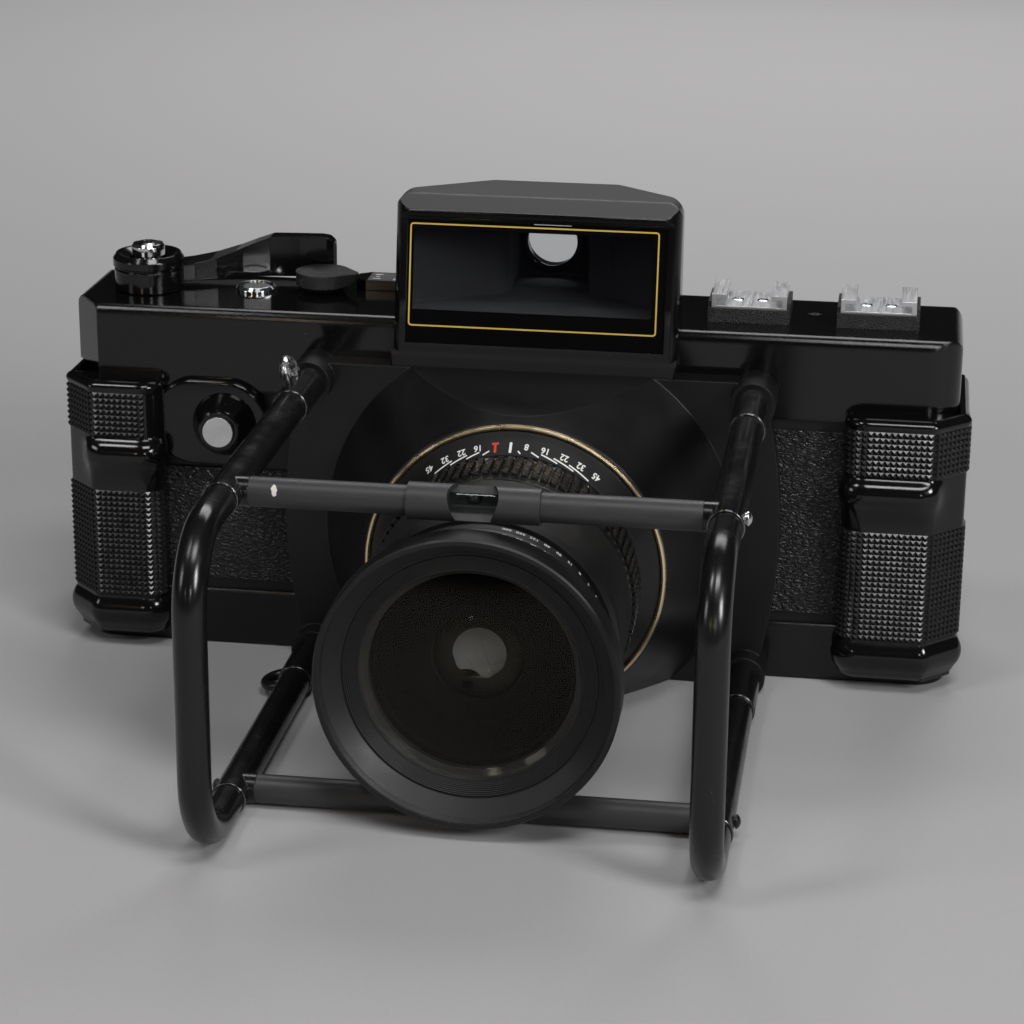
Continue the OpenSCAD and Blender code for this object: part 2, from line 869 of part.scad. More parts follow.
module front_ring() {
    color(black)
        turned()
            polygon([[ring_bore - run_gap, fr_h0], [neck_r, fr_h0], [neck_r, neck_h],
                [front_r - 0.6, neck_h + 0.7], [front_r, neck_h + 1.3], [front_r, fr_h1 - 0.5],
                [front_r - 0.5, fr_h1], [filter_r, fr_h1], [filter_r, fr_h1 - thread_l],
                [glass_r + 5, glass_h1 + 0.6], [glass_r + slip, glass_h1], [glass_r + slip, glass_h0],
                [glass_r - 2, glass_h0], [glass_r - 2, glass_h0 - 2], [ring_bore - run_gap, glass_h0 - 2.4]]);
}

module front_glass() {
    cr = (glass_r * glass_r + glass_sag * glass_sag) / (2 * glass_sag);
    color(clear)
        turned()
            difference() {
                intersection() {
                    translate([0, glass_h0])
                        square([glass_r, 20]);
                    translate([0, glass_h1 + glass_sag - cr])
                        circle(cr, $fn = 360);
                }
                translate([0, glass_h0 + glass_sag - cr])
                    circle(cr, $fn = 360);
            }
}

module front_cell() {
    color(satin)
        turned()
            polygon([[11, cell_h], [tube_in - slip, cell_h], [tube_in - slip, fr_h0 + 5], [26, fr_h0 + 5],
                [25.2, fr_h0 + 4.2], [17, fr_h0 + 2.8], [16, fr_h0 + 2.4], [12.9, fr_h0 + 0.2],
                [12.1, fr_h0 - 0.4], [12.1, cell_h + 0.8], [11, cell_h + 0.8]]);
}

module inner_glass() {
    color(clear)
        turned()
            intersection() {
                translate([0, cell_h + 0.8])
                    square([12.1 - slip, 8]);
                translate([0, cell_h + 3.6 - 30])
                    circle(30, $fn = 240);
            }
}

module iris_blades() {
    color(satin)
        translate([0, 0, lens_z])
            rotate([90, 0, 0])
                translate([0, 0, iris_h])
                    linear_extrude(1.2)
                        difference() {
                            circle(tube_in - slip);
                            circle(7, $fn = 10);
                        }
}

module rear_cell() {
    color(satin)
        turned()
            polygon([[9, iris_h - 0.1], [tube_in - slip, iris_h - 0.1], [tube_in - slip, 52], [23.6, 52], [23.6, 58],
                [21, 58], [21, 66], [12, iris_h - 10], [9, iris_h - 8]]);
}

module rear_glass() {
    color(clear)
        turned()
            intersection() {
                translate([0, 46])
                    square([23.6 - slip, 12]);
                translate([0, 49 + 70])
                    circle(70, $fn = 240);
            }
}

// Guard

module leg(x, z) {
    s = x > 0 ? -1 : 1;
    rod_y(x, z, -leg_h0, -leg_h0 + 8.6, rod_r);
    rod_y(x, z, -leg_h0 - collar_l, -leg_h0, collar_r);
    rod_y(x, z, -leg_h1, -leg_h0, leg_r);
    rod_x(min(x, s * -sock_x), max(x, s * -sock_x), -bar_h, z, sleeve_out + 0.1);
}

module guard_legs() {
    color(black)
        difference() {
            intersection() {
                union()
                    for (x = [-leg_x, leg_x])
                        for (z = [leg_zu, leg_zl])
                            leg(x, z);
                translate([-100, -200, 0])
                    cube([200, 200, 120]);
            }
            for (z = [leg_zu, leg_zl]) {
                rod_x(-leg_x + 1.8, leg_x - 1.8, -bar_h, z, rod_r + slip);
                for (s = [-1, 1])
                    rod_x(min(s * (leg_x + 1.5), s * (leg_x + 9)), max(s * (leg_x + 1.5), s * (leg_x + 9)),
                        -bar_h, z, 1.5 + slip);
            }
            for (x = [-leg_x, leg_x])
                for (z = [leg_zu, leg_zl])
                    rod_y(x, z, -leg_h1 - 1, -leg_h1 + 4.2, rod_r - 0.4 + slip);
        }
}

module bend(x, y, z, turn) {
    translate([x, y, z])
        rotate([0, 90, 0])
            rotate(turn)
                rotate_extrude(angle = 90)
                    translate([bend_r, 0])
                        circle(tube_r, $fn = 48);
}

module guard_loop(x) {
    yb0 = -guard_h + bend_r;
    for (z = [leg_zu, leg_zl]) {
        rod_y(x, z, -leg_h1, -leg_h1 + 4, rod_r - 0.4);
        rod_y(x, z, yb0, -leg_h1, tube_r);
    }
    rod_z(x, -guard_h, leg_zl + bend_r, leg_zu - bend_r, tube_r);
    bend(x, yb0, leg_zu - bend_r, 180);
    bend(x, yb0, leg_zl + bend_r, 270);
}

module guard_loop_left() {
    color(black)
        guard_loop(-leg_x);
}

module guard_loop_right() {
    color(black)
        guard_loop(leg_x);
}

module guard_bars() {
    e = leg_x - 1.8 - 0.2;
    color(steel) {
        rod_x(-e, -level_l + 4.9, -bar_h, leg_zu, rod_r);
        rod_x(level_l - 4.9, e, -bar_h, leg_zu, rod_r);
        rod_x(-e, e, -bar_h, leg_zl, rod_r);
    }
}

module bar_sleeves() {
    color(satin)
        difference() {
            union() {
                rod_x(-sock_x + slip, -level_l - slip, -bar_h, leg_zu, sleeve_out);
                rod_x(level_l + slip, sock_x - slip, -bar_h, leg_zu, sleeve_out);
                rod_x(-sock_x + slip, sock_x - slip, -bar_h, leg_zl, sleeve_out);
            }
            for (z = [leg_zu, leg_zl])
                rod_x(-leg_x, leg_x, -bar_h, z, rod_r + slip);
        }
}

module level_housing() {
    color(black)
        difference() {
            rod_x(-level_l, level_l, -bar_h, leg_zu, level_r);
            rod_x(-level_l - 1, -level_l + 5, -bar_h, leg_zu, rod_r + slip);
            rod_x(level_l - 5, level_l + 1, -bar_h, leg_zu, rod_r + slip);
            rod_x(-9, 9, -bar_h, leg_zu, 2.6 + slip);
            translate([0, -bar_h, leg_zu])
                rotate([52, 0, 0])
                    cylinder(h = 9, r = 6.6);
        }
}

module level_vial() {
    color(clear)
        rod_x(-9 + slip, 9 - slip, -bar_h, leg_zu, 2.6);
}

module guard_screws() {
    color(steel)
        for (s = [-1, 1])
            for (z = [leg_zu, leg_zl]) {
                rod_x(min(s * (leg_x + 1.6), s * (leg_x + leg_r + 0.2)), max(s * (leg_x + 1.6), s * (leg_x + leg_r + 0.2)),
                    -bar_h, z, 1.5);
                translate([s * (leg_x + leg_r + 0.2), -bar_h, z])
                    rotate([0, s * 90, 0])
                        intersection() {
                            translate([0, 0, -1])
                                sphere(2.4);
                            cylinder(h = 4, r = 1.9);
                        }
            }
}

module half_loop(r, w) {
    rotate_extrude(angle = 180)
        translate([r, 0])
            circle(w, $fn = 32);
}

// What the strap loops leave free: a leg with its collar
module leg_room(z) {
    rod_y(-leg_x, z, -leg_h1, -leg_h0, leg_r);
    rod_y(-leg_x, z, -leg_h0 - collar_l, -leg_h0, collar_r);
}

// A strap loop on the upper or lower leg at h forward, turned round it and standing off by rise
module strap_loop(z, h, turn, rise) {
    difference() {
        translate([-leg_x, -h, z])
            rotate([0, turn, 0])
                union() {
                    translate([0, 0, collar_r + rise])
                        rotate([90, 0, 90])
                            half_loop(lug_r, lug_wire);
                    for (s = [-lug_r, lug_r])
                        rod_z(0, s, collar_r - 3, collar_r + rise, lug_wire);
                }
        leg_room(z);
    }
}

module strap_lugs() {
    color(steel) {
        strap_loop(leg_zu, leg_h0 + 13.3, -18, lug_rise);
        strap_loop(leg_zl, leg_h0 + 20.8, -100, lug_rise - 1.5);
    }
}

// Controls

module wind_lever() {
    z0 = cover_top + 0.35;
    color(black)
        difference() {
            union() {
                translate([hub_x, hub_y, 0])
                    rotate_extrude()
                        polygon([[0, z0], [10.2, z0], [10.2, hub_top - 4.6], [9.8, hub_top - 4.4],
                            [9.8, hub_top - 3.9], [10.6, hub_top - 3.6], [10.6, hub_top - 1.4],
                            [9.6, hub_top], [8.6, hub_top], [5.6, hub_top - 1.4], [0, hub_top - 1.4]]);
                intersection() {
                    along_z(z0 + 1.2, hub_top + 8)
                        polygon([[hub_x + 4, 2], [hub_x + 13, 4.6], [hub_x + 19, 8], [hub_x + 26, 11.6],
                            [hub_x + 34, 13.8], [hub_x + 43, 15], [hub_x + 51, 15.6], [hub_x + 53, 16.2],
                            [hub_x + 53.8, 17.6], [hub_x + 53.4, 19.4], [hub_x + 52, 20.4], [hub_x + 36, 20.6],
                            [hub_x + 22, 19.6], [hub_x + 10, 16.4], [hub_x - 1, 10], [hub_x - 6, 5]]);
                    along_y(-5, 30)
                        polygon([[hub_x - 8, z0 + 1.2], [hub_x + 54, z0 + 1.2], [hub_x + 54, hub_top - 0.6],
                            [hub_x + 53.2, hub_top + 1.4], [hub_x + 51.4, hub_top + 2.6], [hub_x + 49, hub_top + 2.9],
                            [hub_x + 34, hub_top + 2.5], [hub_x + 29, hub_top + 0.7], [hub_x + 24, hub_top - 1.3],
                            [hub_x + 17, hub_top - 3.4], [hub_x + 10, hub_top - 4.7], [hub_x - 8, hub_top - 5.6]]);
                }
            }
            rod_z(hub_x, hub_y, z0 - 1, hub_top + 5, 4.2);
            rod_z(hub_x, hub_y, hub_top - 3.6, hub_top + 5, 5.5);
        }
}

module wind_shaft() {
    color(steel)
        difference() {
            union() {
                rod_z(hub_x, hub_y, spool_z1 + 0.1, hub_top - 3.7, 4.2);
                rod_z(hub_x, hub_y, spool_z1 - 5.8, spool_z1 + 0.2, stud_r);
                along_z(gear_z0, gear_z0 + gear_t)
                    translate([hub_x, hub_y])
                        gear_plan(wind_z);
            }
            rod_z(hub_x, hub_y, cover_top - 9, hub_top, stud_r + run_gap);
        }
}

module release_button() {
    color(steel)
        difference() {
            union() {
                rod_z(hub_x, hub_y, cover_top - 5, hub_top + 0.4, stud_r);
                translate([hub_x, hub_y, 0])
                    rotate_extrude()
                        polygon([[0, hub_top - 0.6], [5, hub_top - 0.6], [5, hub_top + 2],
                            [4.4, hub_top + 2.8], [2.6, hub_top + 3.2], [0, hub_top + 3.2]]);
            }
            rod_z(hub_x, hub_y, hub_top - 2.8, hub_top + 4, 1.5);
        }
}

module idler_gear() {
    color(gold)
        difference() {
            along_z(gear_z0, gear_z0 + gear_t)
                translate([idle_x, idle_y])
                    rotate(ph_idle)
                        gear_plan(idle_z);
            rod_z(idle_x, idle_y, gear_z0 - 1, gear_z0 + gear_t + 1, post_r + run_gap);
        }
}

module counter_disc() {
    color(satin)
        difference() {
            union() {
                along_z(gear_z0, gear_z0 + gear_t)
                    translate([count_x, count_y])
                        rotate(ph_count)
                            gear_plan(count_z);
                rod_z(count_x, count_y, gear_z0, cover_top - cover_wall - 0.6, 3);
                rod_z(count_x, count_y, cover_top - cover_wall - 2, cover_top - cover_wall - 0.6, 7);
            }
            rod_z(count_x, count_y, gear_z0 - 1, gear_z0 + gear_t + 7, post_r + run_gap);
        }
}

module counter_bezel() {
    color(steel)
        translate([count_x, count_y, 0])
            rotate_extrude()
                polygon([[4.65 - slip, cover_top - 1], [4.65, cover_top - 1], [4.65, cover_top], [6, cover_top],
                    [6, cover_top + 0.8], [5.2, cover_top + 1.7], [4.4, cover_top + 1.7], [4.4, cover_top + 0.6],
                    [4.1, cover_top + 0.6], [4.1, cover_top - 1]]);
}

module counter_window() {
    color(clear)
        rod_z(count_x, count_y, cover_top + 0.6, cover_top + 1.4, 4.4 - slip);
}

module selector_knob() {
    z0 = cover_top + 0.35;
    z1 = cover_top + 6;
    color(satin) {
        rod_z(sel_x, sel_y, cover_top - 6, z0 + 1, stud_r);
        intersection() {
            along_z(z0, z1)
                translate([sel_x, sel_y]) {
                    circle(8.2);
                    rotate(-8)
                        polygon([[0, -8.2], [4, -7.2], [10.6, -1.4], [11.2, 0], [10.6, 1.4], [4, 7.2], [0, 8.2]]);
                }
            translate([sel_x, sel_y, 0])
                rotate_extrude()
                    polygon([[0, z0], [5.8, z0], [6.6, z0 + 0.6], [12, z1 - 1.3], [12, z1], [7.6, z1], [0, z1 - 0.5]]);
        }
    }
}

module selector_plate() {
    x0 = sel_x + 9;
    color(black)
        along_z(cover_top, cover_top + 3)
            polygon([[x0, 11.5], [x0 + 3.4, 8], [x0 + 21, 8], [x0 + 21, yb - 3.4], [x0 + 3.4, yb - 3.4],
                [x0, yb - 6]]);
}

module release_collar() {
    color(black)
        difference() {
            translate([rel_x, yf - 3, rel_z])
                rotate([90, 0, 0])
                    rotate_extrude()
                        polygon([[0, 0], [9.6, 0], [9.2, 1.4], [6.2, 6.8], [5.6, 7.2], [0, 7.2]]);
            rod_y(rel_x, rel_z, yf - 20, yf, 3.4 + run_gap);
            rod_y(rel_x, rel_z, yf - 20, yf - 5.4, 4.7);
        }
}

module release_plunger() {
    color(steel) {
        rod_y(rel_x, rel_z, yf - 11.6, yf - 9, 4.5);
        rod_y(rel_x, rel_z, yf - 9.4, yf - 1.8, 3.4);
    }
}

// Back

module back_door() {
    kz0 = 22;
    kz1 = 58;
    color(black)
        difference() {
            union() {
                along_z(door_z0, door_z1)
                    rounded(hinge_x + 6.1, door_y0, door_xr, door_y1, 0, 1, 4, 3);
                rod_z(hinge_x, hinge_y, kz0, kz1, knuckle_r);
                translate([hinge_x, hinge_y - 3.2, kz0])
                    cube([8, 6.4, kz1 - kz0]);
            }
            translate([xl + 9, door_y0 - 1, door_z0 + 6])
                cube([body_w - 16, door_t - 2, door_z1 - door_z0 - 12]);
            rod_z(hinge_x, hinge_y, kz0 - 1, kz1 + 1, pin_r + run_gap);
            translate([door_xr - 2.2, door_y0 + 3, 26])
                cube([4, 3, 44]);
        }
}

module door_leather() {
    color(rubber)
        along_y(door_y1, door_y1 + 0.8)
            rounded(xl + 12, door_z0 + 7, xr - 12, door_z1 - 7, 3, 3, 3, 3);
}

module pressure_plate() {
    py = film_y + 0.3;
    py1 = door_y0 - 1 + door_t - 2;
    color(satin) {
        along_y(py, py + 1.5)
            rounded(-light_x - 1, lens_z - 32, light_x + 1, lens_z + 32, 2, 2, 2, 2);
        for (x = [-45, 45])
            along_z(lens_z - 9, lens_z + 9)
                polygon([[x - 24, py1], [x - 6, py + 1.4], [x + 6, py + 1.4], [x + 24, py1], [x + 23, py1],
                    [x + 5.6, py + 2], [x - 5.6, py + 2], [x - 23, py1]]);
    }
}

module hinge_pin() {
    color(steel)
        rod_z(hinge_x, hinge_y, 8.5, 71.5, pin_r);
}

module door_latch() {
    color(black) {
        translate([door_xr + 0.05, door_y0 + 0.6, 30])
            cube([1.5, 7.4, 32]);
        translate([door_xr - 2.1, door_y0 + 3 + run_gap, 32])
            cube([3, 3 - 2 * run_gap, 28]);
    }
}

body_shell();
mech_plate();
top_cover();
bottom_cover();
tripod_plate();
front_plate();
leather_panels();
grip_release_side();
grip_plain_side();
pads_release_side();
pads_plain_side();
film_gate();
roller_left();
roller_right();
supply_spool();
takeup_spool();
shoe_bases();
shoe_rails();
finder_housing();
finder_window();
eyepiece_ring();
eye_lens();
lens_trim_ring();
depth_scale_ring();
focus_ring();
lens_barrel();
speed_ring();
aperture_ring();
front_ring();
front_glass();
front_cell();
inner_glass();
iris_blades();
rear_cell();
rear_glass();
guard_legs();
guard_loop_left();
guard_loop_right();
guard_bars();
bar_sleeves();
level_housing();
level_vial();
guard_screws();
strap_lugs();
wind_lever();
wind_shaft();
release_button();
idler_gear();
counter_disc();
counter_bezel();
counter_window();
selector_knob();
selector_plate();
release_collar();
release_plunger();
back_door();
door_leather();
pressure_plate();
hinge_pin();
door_latch();
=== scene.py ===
"""Looks of a panoramic roll-film camera: the finish of every solid, and the fine pieces that the solids carry."""
import json
import math

import bpy
from mathutils import Matrix, Vector


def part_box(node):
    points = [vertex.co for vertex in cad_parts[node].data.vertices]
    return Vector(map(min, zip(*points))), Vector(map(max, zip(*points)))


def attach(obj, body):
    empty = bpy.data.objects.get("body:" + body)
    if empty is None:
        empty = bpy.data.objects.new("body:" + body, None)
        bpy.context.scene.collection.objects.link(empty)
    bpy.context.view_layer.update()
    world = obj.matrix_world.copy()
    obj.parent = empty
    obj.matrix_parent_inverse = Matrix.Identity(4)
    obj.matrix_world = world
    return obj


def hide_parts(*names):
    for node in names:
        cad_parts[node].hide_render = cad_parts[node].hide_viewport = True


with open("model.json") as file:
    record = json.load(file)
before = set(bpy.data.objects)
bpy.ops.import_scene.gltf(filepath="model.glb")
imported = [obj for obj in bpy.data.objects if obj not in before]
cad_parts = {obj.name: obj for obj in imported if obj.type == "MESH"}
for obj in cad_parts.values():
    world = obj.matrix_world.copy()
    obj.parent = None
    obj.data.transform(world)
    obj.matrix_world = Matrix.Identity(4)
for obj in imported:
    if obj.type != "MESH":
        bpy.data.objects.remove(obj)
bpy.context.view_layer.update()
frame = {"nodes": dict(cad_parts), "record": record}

bl_info = {
    "name": "Panoramic camera looks",
    "version": (1, 0, 0),
    "blender": (4, 5, 0),
    "location": "View3D > Sidebar > Camera",
    "description": "Finishes and fine pieces of a panoramic roll-film camera",
    "category": "Object",
}

MM = 0.001
ON_AXIS = 0.05  # innermost radius of turned discs, in millimetres
PRINT = 0.03  # thickness of printed marks, in millimetres
LENS_Z = (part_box("front_ring")[0].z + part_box("front_ring")[1].z) / 2
FORWARD = Matrix.Rotation(math.pi / 2, 4, "X")  # turns +Z to the camera's front
SIDEWAYS = Matrix.Rotation(math.pi / 2, 4, "Y")  # turns +Z to the right
ON_LENS = Matrix.Translation((0, 0, LENS_Z)) @ FORWARD

# Plan of the grips, in millimetres: widths, faces, rounding of the inner corner, flat across the outer one
PLAIN_WIDE, RELEASE_WIDE = 35.0, 30.0
GRIP_FRONT, GRIP_BACK, BODY_FRONT, GRIP_WALL = -31.0, 21.0, -22.0, -2.85
GRIP_CORNER, GRIP_FLAT, GRIP_EDGE, BACK_CORNER = 6.5, 9.5, 3.0, 2.7
GRIP_RUN = GRIP_EDGE * math.tan(math.pi / 8)
RIDGE_RUNS_OUT, RIDGE_RUN = -13.0, 8.5
LIP_STARTS, LIP_RUN = -14.0, 6.0
RIDGE_ROUNDING, PLAIN_ROUNDING = 3.0, 1.3
# Heights on the grips, in millimetres
GRIP_LOW, GRIP_HIGH = 3.6, 83.4
ROUND_LOW, ROUND_TOP = 4.0, 2.6
LOWER_PAD_TOP, UPPER_PAD_LOW = 49.6, 66.2
RIDGE_NOSE, RIDGE_RADIUS, RIDGE_SUNK = 61.0, 5.0, 1.8
RIDGE_FOOT, RIDGE_HOLLOW = 49.8, 16.2
RIDGE_JOIN, RIDGE_END = 58.4, 65.7
LOW_LIP, LOW_LIP_TALL, LOW_LIP_OUT = 6.6, 9.0, 1.7
TOP_LIP, TOP_LIP_TALL, TOP_LIP_OUT = 80.0, 3.4, 0.7

# Digits of the depth scale: word, angle of the digits, angle where the leader line starts
DEPTH_DIGITS = (
    ("8", 5.6, 2.1), ("16", 13.6, 7.8), ("22", 21.9, 12.2), ("32", 29.6, 17.7), ("45", 37.3, 24.8),
    ("16", -14.9, -9.8), ("22", -22.2, -14.2), ("32", -29.9, -19.7), ("45", -37.9, -26.8))
DISTANCES = (("30", -10.8), ("15", -3.7), ("10", 0.9), ("7", 7.5),
             ("5", 12.0), ("4", 20.4), ("3.5", 36.1), ("3", 52.0))
SPEEDS = ("500", "250", "125", "60", "30", "15", "8", "4", "2", "1")
STOPS = ("45", "32", "22", "16", "11", "8")

# On the finder's window: left, right, bottom and top, in millimetres
CLEAR_VIEW = (-35.4, 33.4, 107.9, 130.6)
GOLD_FRAME = (-36.6, 35.1, 103.1, 132.3)

# Name, place, aim, width, height, power, colour
LAMPS = (
    ("back_top", (0.05, 0.95, 1.25), (0, 0.6, 0.0), 1.1, 0.6, 9.0, (1, 1, 1)),
    ("overhead_right", (0.24, -0.58, 1.15), (0.05, -0.05, 0.06), 0.46, 0.3, 4.6, (1, 1, 1)),
    ("overhead_left", (-0.48, -0.5, 1.15), (-0.05, -0.05, 0.06), 0.2, 0.3, 2.0, (1, 1, 1)),
    ("front_right", (1.1, -1.0, 0.8), (0, -0.05, 0.06), 0.36, 0.46, 13.0, (1, 1, 1)),
    ("front_left", (-1.2, -0.9, 0.7), (0, -0.05, 0.06), 0.32, 0.42, 2.2, (1, 1, 1)),
    ("window_right", (0.34, -1.25, 0.46), (0, -0.12, 0.05), 0.1, 0.12, 0.5, (1, 1, 1)),
    ("window_left", (-0.36, -1.25, 0.42), (0, -0.12, 0.05), 0.08, 0.1, 0.3, (1.0, 0.8, 0.55)),
)
VIEW_PLACE = (0.1039, -0.79366, 0.31708)
VIEW_ANGLES = (8.13, 19.13, 0.5)  # azimuth, elevation and roll in degrees
VIEW_LENS = 98.553


class CameraSizes(bpy.types.PropertyGroup):
    """Sizes of the fine pieces."""

    pyramid_pitch: bpy.props.FloatProperty(
        name="Pyramid pitch", description="Distance between the pyramids of the grip pads",
        default=1.68 * MM, unit="LENGTH")
    pyramid_height: bpy.props.FloatProperty(
        name="Pyramid height", description="Height of the pyramids of the grip pads",
        default=0.65 * MM, unit="LENGTH")
    rib_count: bpy.props.IntProperty(
        name="Ribs", description="Ribs round the focusing ring", default=84, min=24)
    blocks_per_rib: bpy.props.IntProperty(
        name="Blocks", description="Small blocks in each rib of the focusing ring", default=6, min=1)
    gold_line: bpy.props.FloatProperty(
        name="Gold line", description="Width of the gold line on the finder's window",
        default=0.44 * MM, unit="LENGTH")
    digit_size: bpy.props.FloatProperty(
        name="Digits", description="Size of the digits on the lens", default=2.45 * MM, unit="LENGTH")


class CameraColours(bpy.types.PropertyGroup):
    """Colours that a user may change."""

    gloss_black: bpy.props.FloatVectorProperty(
        name="Gloss black", description="Enamel of the covers",
        subtype="COLOR", default=(0.0030, 0.0030, 0.0033))
    satin_black: bpy.props.FloatVectorProperty(
        name="Satin black", description="Paint of the front plate and the lens",
        subtype="COLOR", default=(0.0060, 0.0060, 0.0063))
    rubber_black: bpy.props.FloatVectorProperty(
        name="Rubber black", description="Pads and the focusing ring",
        subtype="COLOR", default=(0.0080, 0.0080, 0.0080))
    gold: bpy.props.FloatVectorProperty(
        name="Gold", description="Trim ring of the lens", subtype="COLOR", default=(0.93, 0.76, 0.50))
    mark_white: bpy.props.FloatVectorProperty(
        name="White marks", description="Digits and lines on the scales",
        subtype="COLOR", default=(0.80, 0.80, 0.78))
    floor: bpy.props.FloatVectorProperty(
        name="Floor", description="Paper under and behind the camera",
        subtype="COLOR", default=(0.43, 0.422, 0.424))


def sizes():
    return bpy.context.scene.camera_sizes


def colours():
    return bpy.context.scene.camera_colours


# Modelling helpers

def leave():
    """Back from edit mode to object mode."""
    bpy.ops.object.mode_set(mode="OBJECT")


def bare():
    """Nothing selected, in object mode."""
    if bpy.context.object and bpy.context.object.mode != "OBJECT":
        leave()
    bpy.ops.object.select_all(action="DESELECT")


def take(piece):
    """Only this piece selected and active."""
    bare()
    piece.select_set(True)
    bpy.context.view_layer.objects.active = piece
    return piece


def pick(piece, test):
    """Edit mode with the faces selected whose middle and normal pass the test."""
    take(piece)
    bpy.ops.object.mode_set(mode="EDIT")
    bpy.ops.mesh.select_mode(type="FACE")
    bpy.ops.mesh.select_all(action="DESELECT")
    leave()
    for face in piece.data.polygons:
        face.select = test(face.center, face.normal)
    bpy.ops.object.mode_set(mode="EDIT")


def pick_all(piece):
    """Edit mode with all points selected."""
    take(piece)
    bpy.ops.object.mode_set(mode="EDIT")
    bpy.ops.mesh.select_mode(type="VERT")
    bpy.ops.mesh.select_all(action="SELECT")


def close_up(piece):
    """Merge doubles and turn the faces outwards."""
    pick_all(piece)
    bpy.ops.mesh.remove_doubles(threshold=1e-6)
    bpy.ops.mesh.normals_make_consistent(inside=False)
    leave()
    return piece


def cap(piece):
    """Fill the open ends of the piece."""
    pick_all(piece)
    bpy.ops.mesh.remove_doubles(threshold=1e-6)
    bpy.ops.mesh.select_mode(type="EDGE")
    bpy.ops.mesh.select_all(action="DESELECT")
    bpy.ops.mesh.select_non_manifold()
    bpy.ops.mesh.fill_holes(sides=0)
    leave()
    return close_up(piece)


def settle(piece, place=None):
    """Put the piece in its place and leave its object at the origin."""
    take(piece)
    if place is not None:
        piece.matrix_world = place @ piece.matrix_world
    bpy.ops.object.transform_apply(location=True, rotation=True, scale=True)
    return piece


def round_faces(piece, test, radius, steps):
    """Round the edges of the faces that pass the test; the radius is in millimetres."""
    pick(piece, test)
    bpy.ops.mesh.bevel(offset=radius * MM, segments=steps, affect="EDGES")
    leave()
    return piece


def modify(piece, kind, **settings):
    """Add a modifier and apply it."""
    take(piece)
    modifier = piece.modifiers.new(kind.title(), kind)
    for key, value in settings.items():
        setattr(modifier, key, value)
    bpy.ops.object.modifier_apply(modifier=modifier.name)
    return piece


def cut(piece, tools):
    """Cut tools out of the piece, at a thousand times its size so that fine cuts hold."""
    for each in [piece, *tools]:
        settle(each, Matrix.Scale(1000, 4))
    for tool in tools:
        modify(piece, "BOOLEAN", operation="DIFFERENCE", solver="EXACT", object=tool)
        bpy.data.objects.remove(tool)
    return settle(piece, Matrix.Scale(0.001, 4))


def join(pieces):
    """All pieces as one, in the first of them."""
    take(pieces[0])
    for piece in pieces:
        piece.select_set(True)
    if len(pieces) > 1:
        bpy.ops.object.join()
    return pieces[0]


def twin(piece, place):
    """A copy with its own mesh, moved to place."""
    other = piece.copy()
    other.data = piece.data.copy()
    bpy.context.scene.collection.objects.link(other)
    return settle(other, place)


def extrude(by):
    """Extrude what is selected by a vector in metres."""
    bpy.ops.mesh.extrude_region_move(TRANSFORM_OT_translate={"value": by})


def plane(width, depth):
    """A flat sheet about the origin, in metres."""
    bare()
    bpy.ops.mesh.primitive_plane_add(size=1)
    piece = bpy.context.object
    piece.scale = (width, depth, 1)
    return settle(piece)


def grid(columns, rows):
    """A flat grid of unit size about the origin."""
    bare()
    bpy.ops.mesh.primitive_grid_add(x_subdivisions=columns, y_subdivisions=rows, size=1)
    return bpy.context.object


def rod(radius, length, segments, place=None):
    """A cylinder about Z in millimetres, put in place."""
    bare()
    bpy.ops.mesh.primitive_cylinder_add(vertices=segments, radius=radius * MM, depth=length * MM)
    return settle(bpy.context.object, place)


def block(width, depth, height, middle=(0, 0, 0), soften=0.0, steps=2):
    """A box of this size with softened edges, in millimetres."""
    bare()
    bpy.ops.mesh.primitive_cube_add(size=1)
    piece = bpy.context.object
    piece.scale = (width * MM, depth * MM, height * MM)
    piece.location = Vector(middle) * MM
    settle(piece)
    if soften:
        pick_all(piece)
        bpy.ops.mesh.bevel(offset=soften * MM, segments=steps, affect="EDGES")
        leave()
    return piece


def turned(stations, place, segments=128, closed=True):
    """A profile of (radius, height) in millimetres, turned about Z and then put in place."""
    bare()
    radius, height = stations[0]
    bpy.ops.mesh.primitive_circle_add(vertices=segments, radius=radius * MM, location=(0, 0, height * MM))
    piece = settle(bpy.context.object)
    pick_all(piece)
    path = list(stations) + ([stations[0]] if closed else [])
    for (r0, h0), (r1, h1) in zip(path, path[1:]):
        extrude((0, 0, (h1 - h0) * MM))
        bpy.ops.transform.resize(value=(r1 / r0, r1 / r0, 1), center_override=(0, 0, h1 * MM))
    leave()
    return settle(close_up(piece), place)


def disc(stations, place, segments=64):
    """A turned piece closed on its axis: the profile starts and ends ON_AXIS, and both ends are filled."""
    return settle(cap(turned(stations, Matrix.Identity(4), segments, closed=False)), place)


def spin_copies(piece, count):
    """Copies of the whole mesh round the Z axis."""
    pick_all(piece)
    bpy.ops.mesh.spin(steps=count - 1, dupli=True, angle=math.tau * (count - 1) / count,
                      center=(0, 0, 0), axis=(0, 0, 1))
    leave()
    return piece


def lettering(words, size):
    """Flat digits of this size about the origin."""
    bare()
    bpy.ops.object.text_add()
    piece = bpy.context.object
    piece.data.body = words
    piece.data.size = size
    piece.data.align_x = "CENTER"
    piece.data.align_y = "CENTER"
    piece.data.extrude = PRINT * MM / 2
    piece.data.offset = size * 0.022
    piece.data.resolution_u = 3
    bpy.ops.object.convert(target="MESH")
    return settle(bpy.context.object)


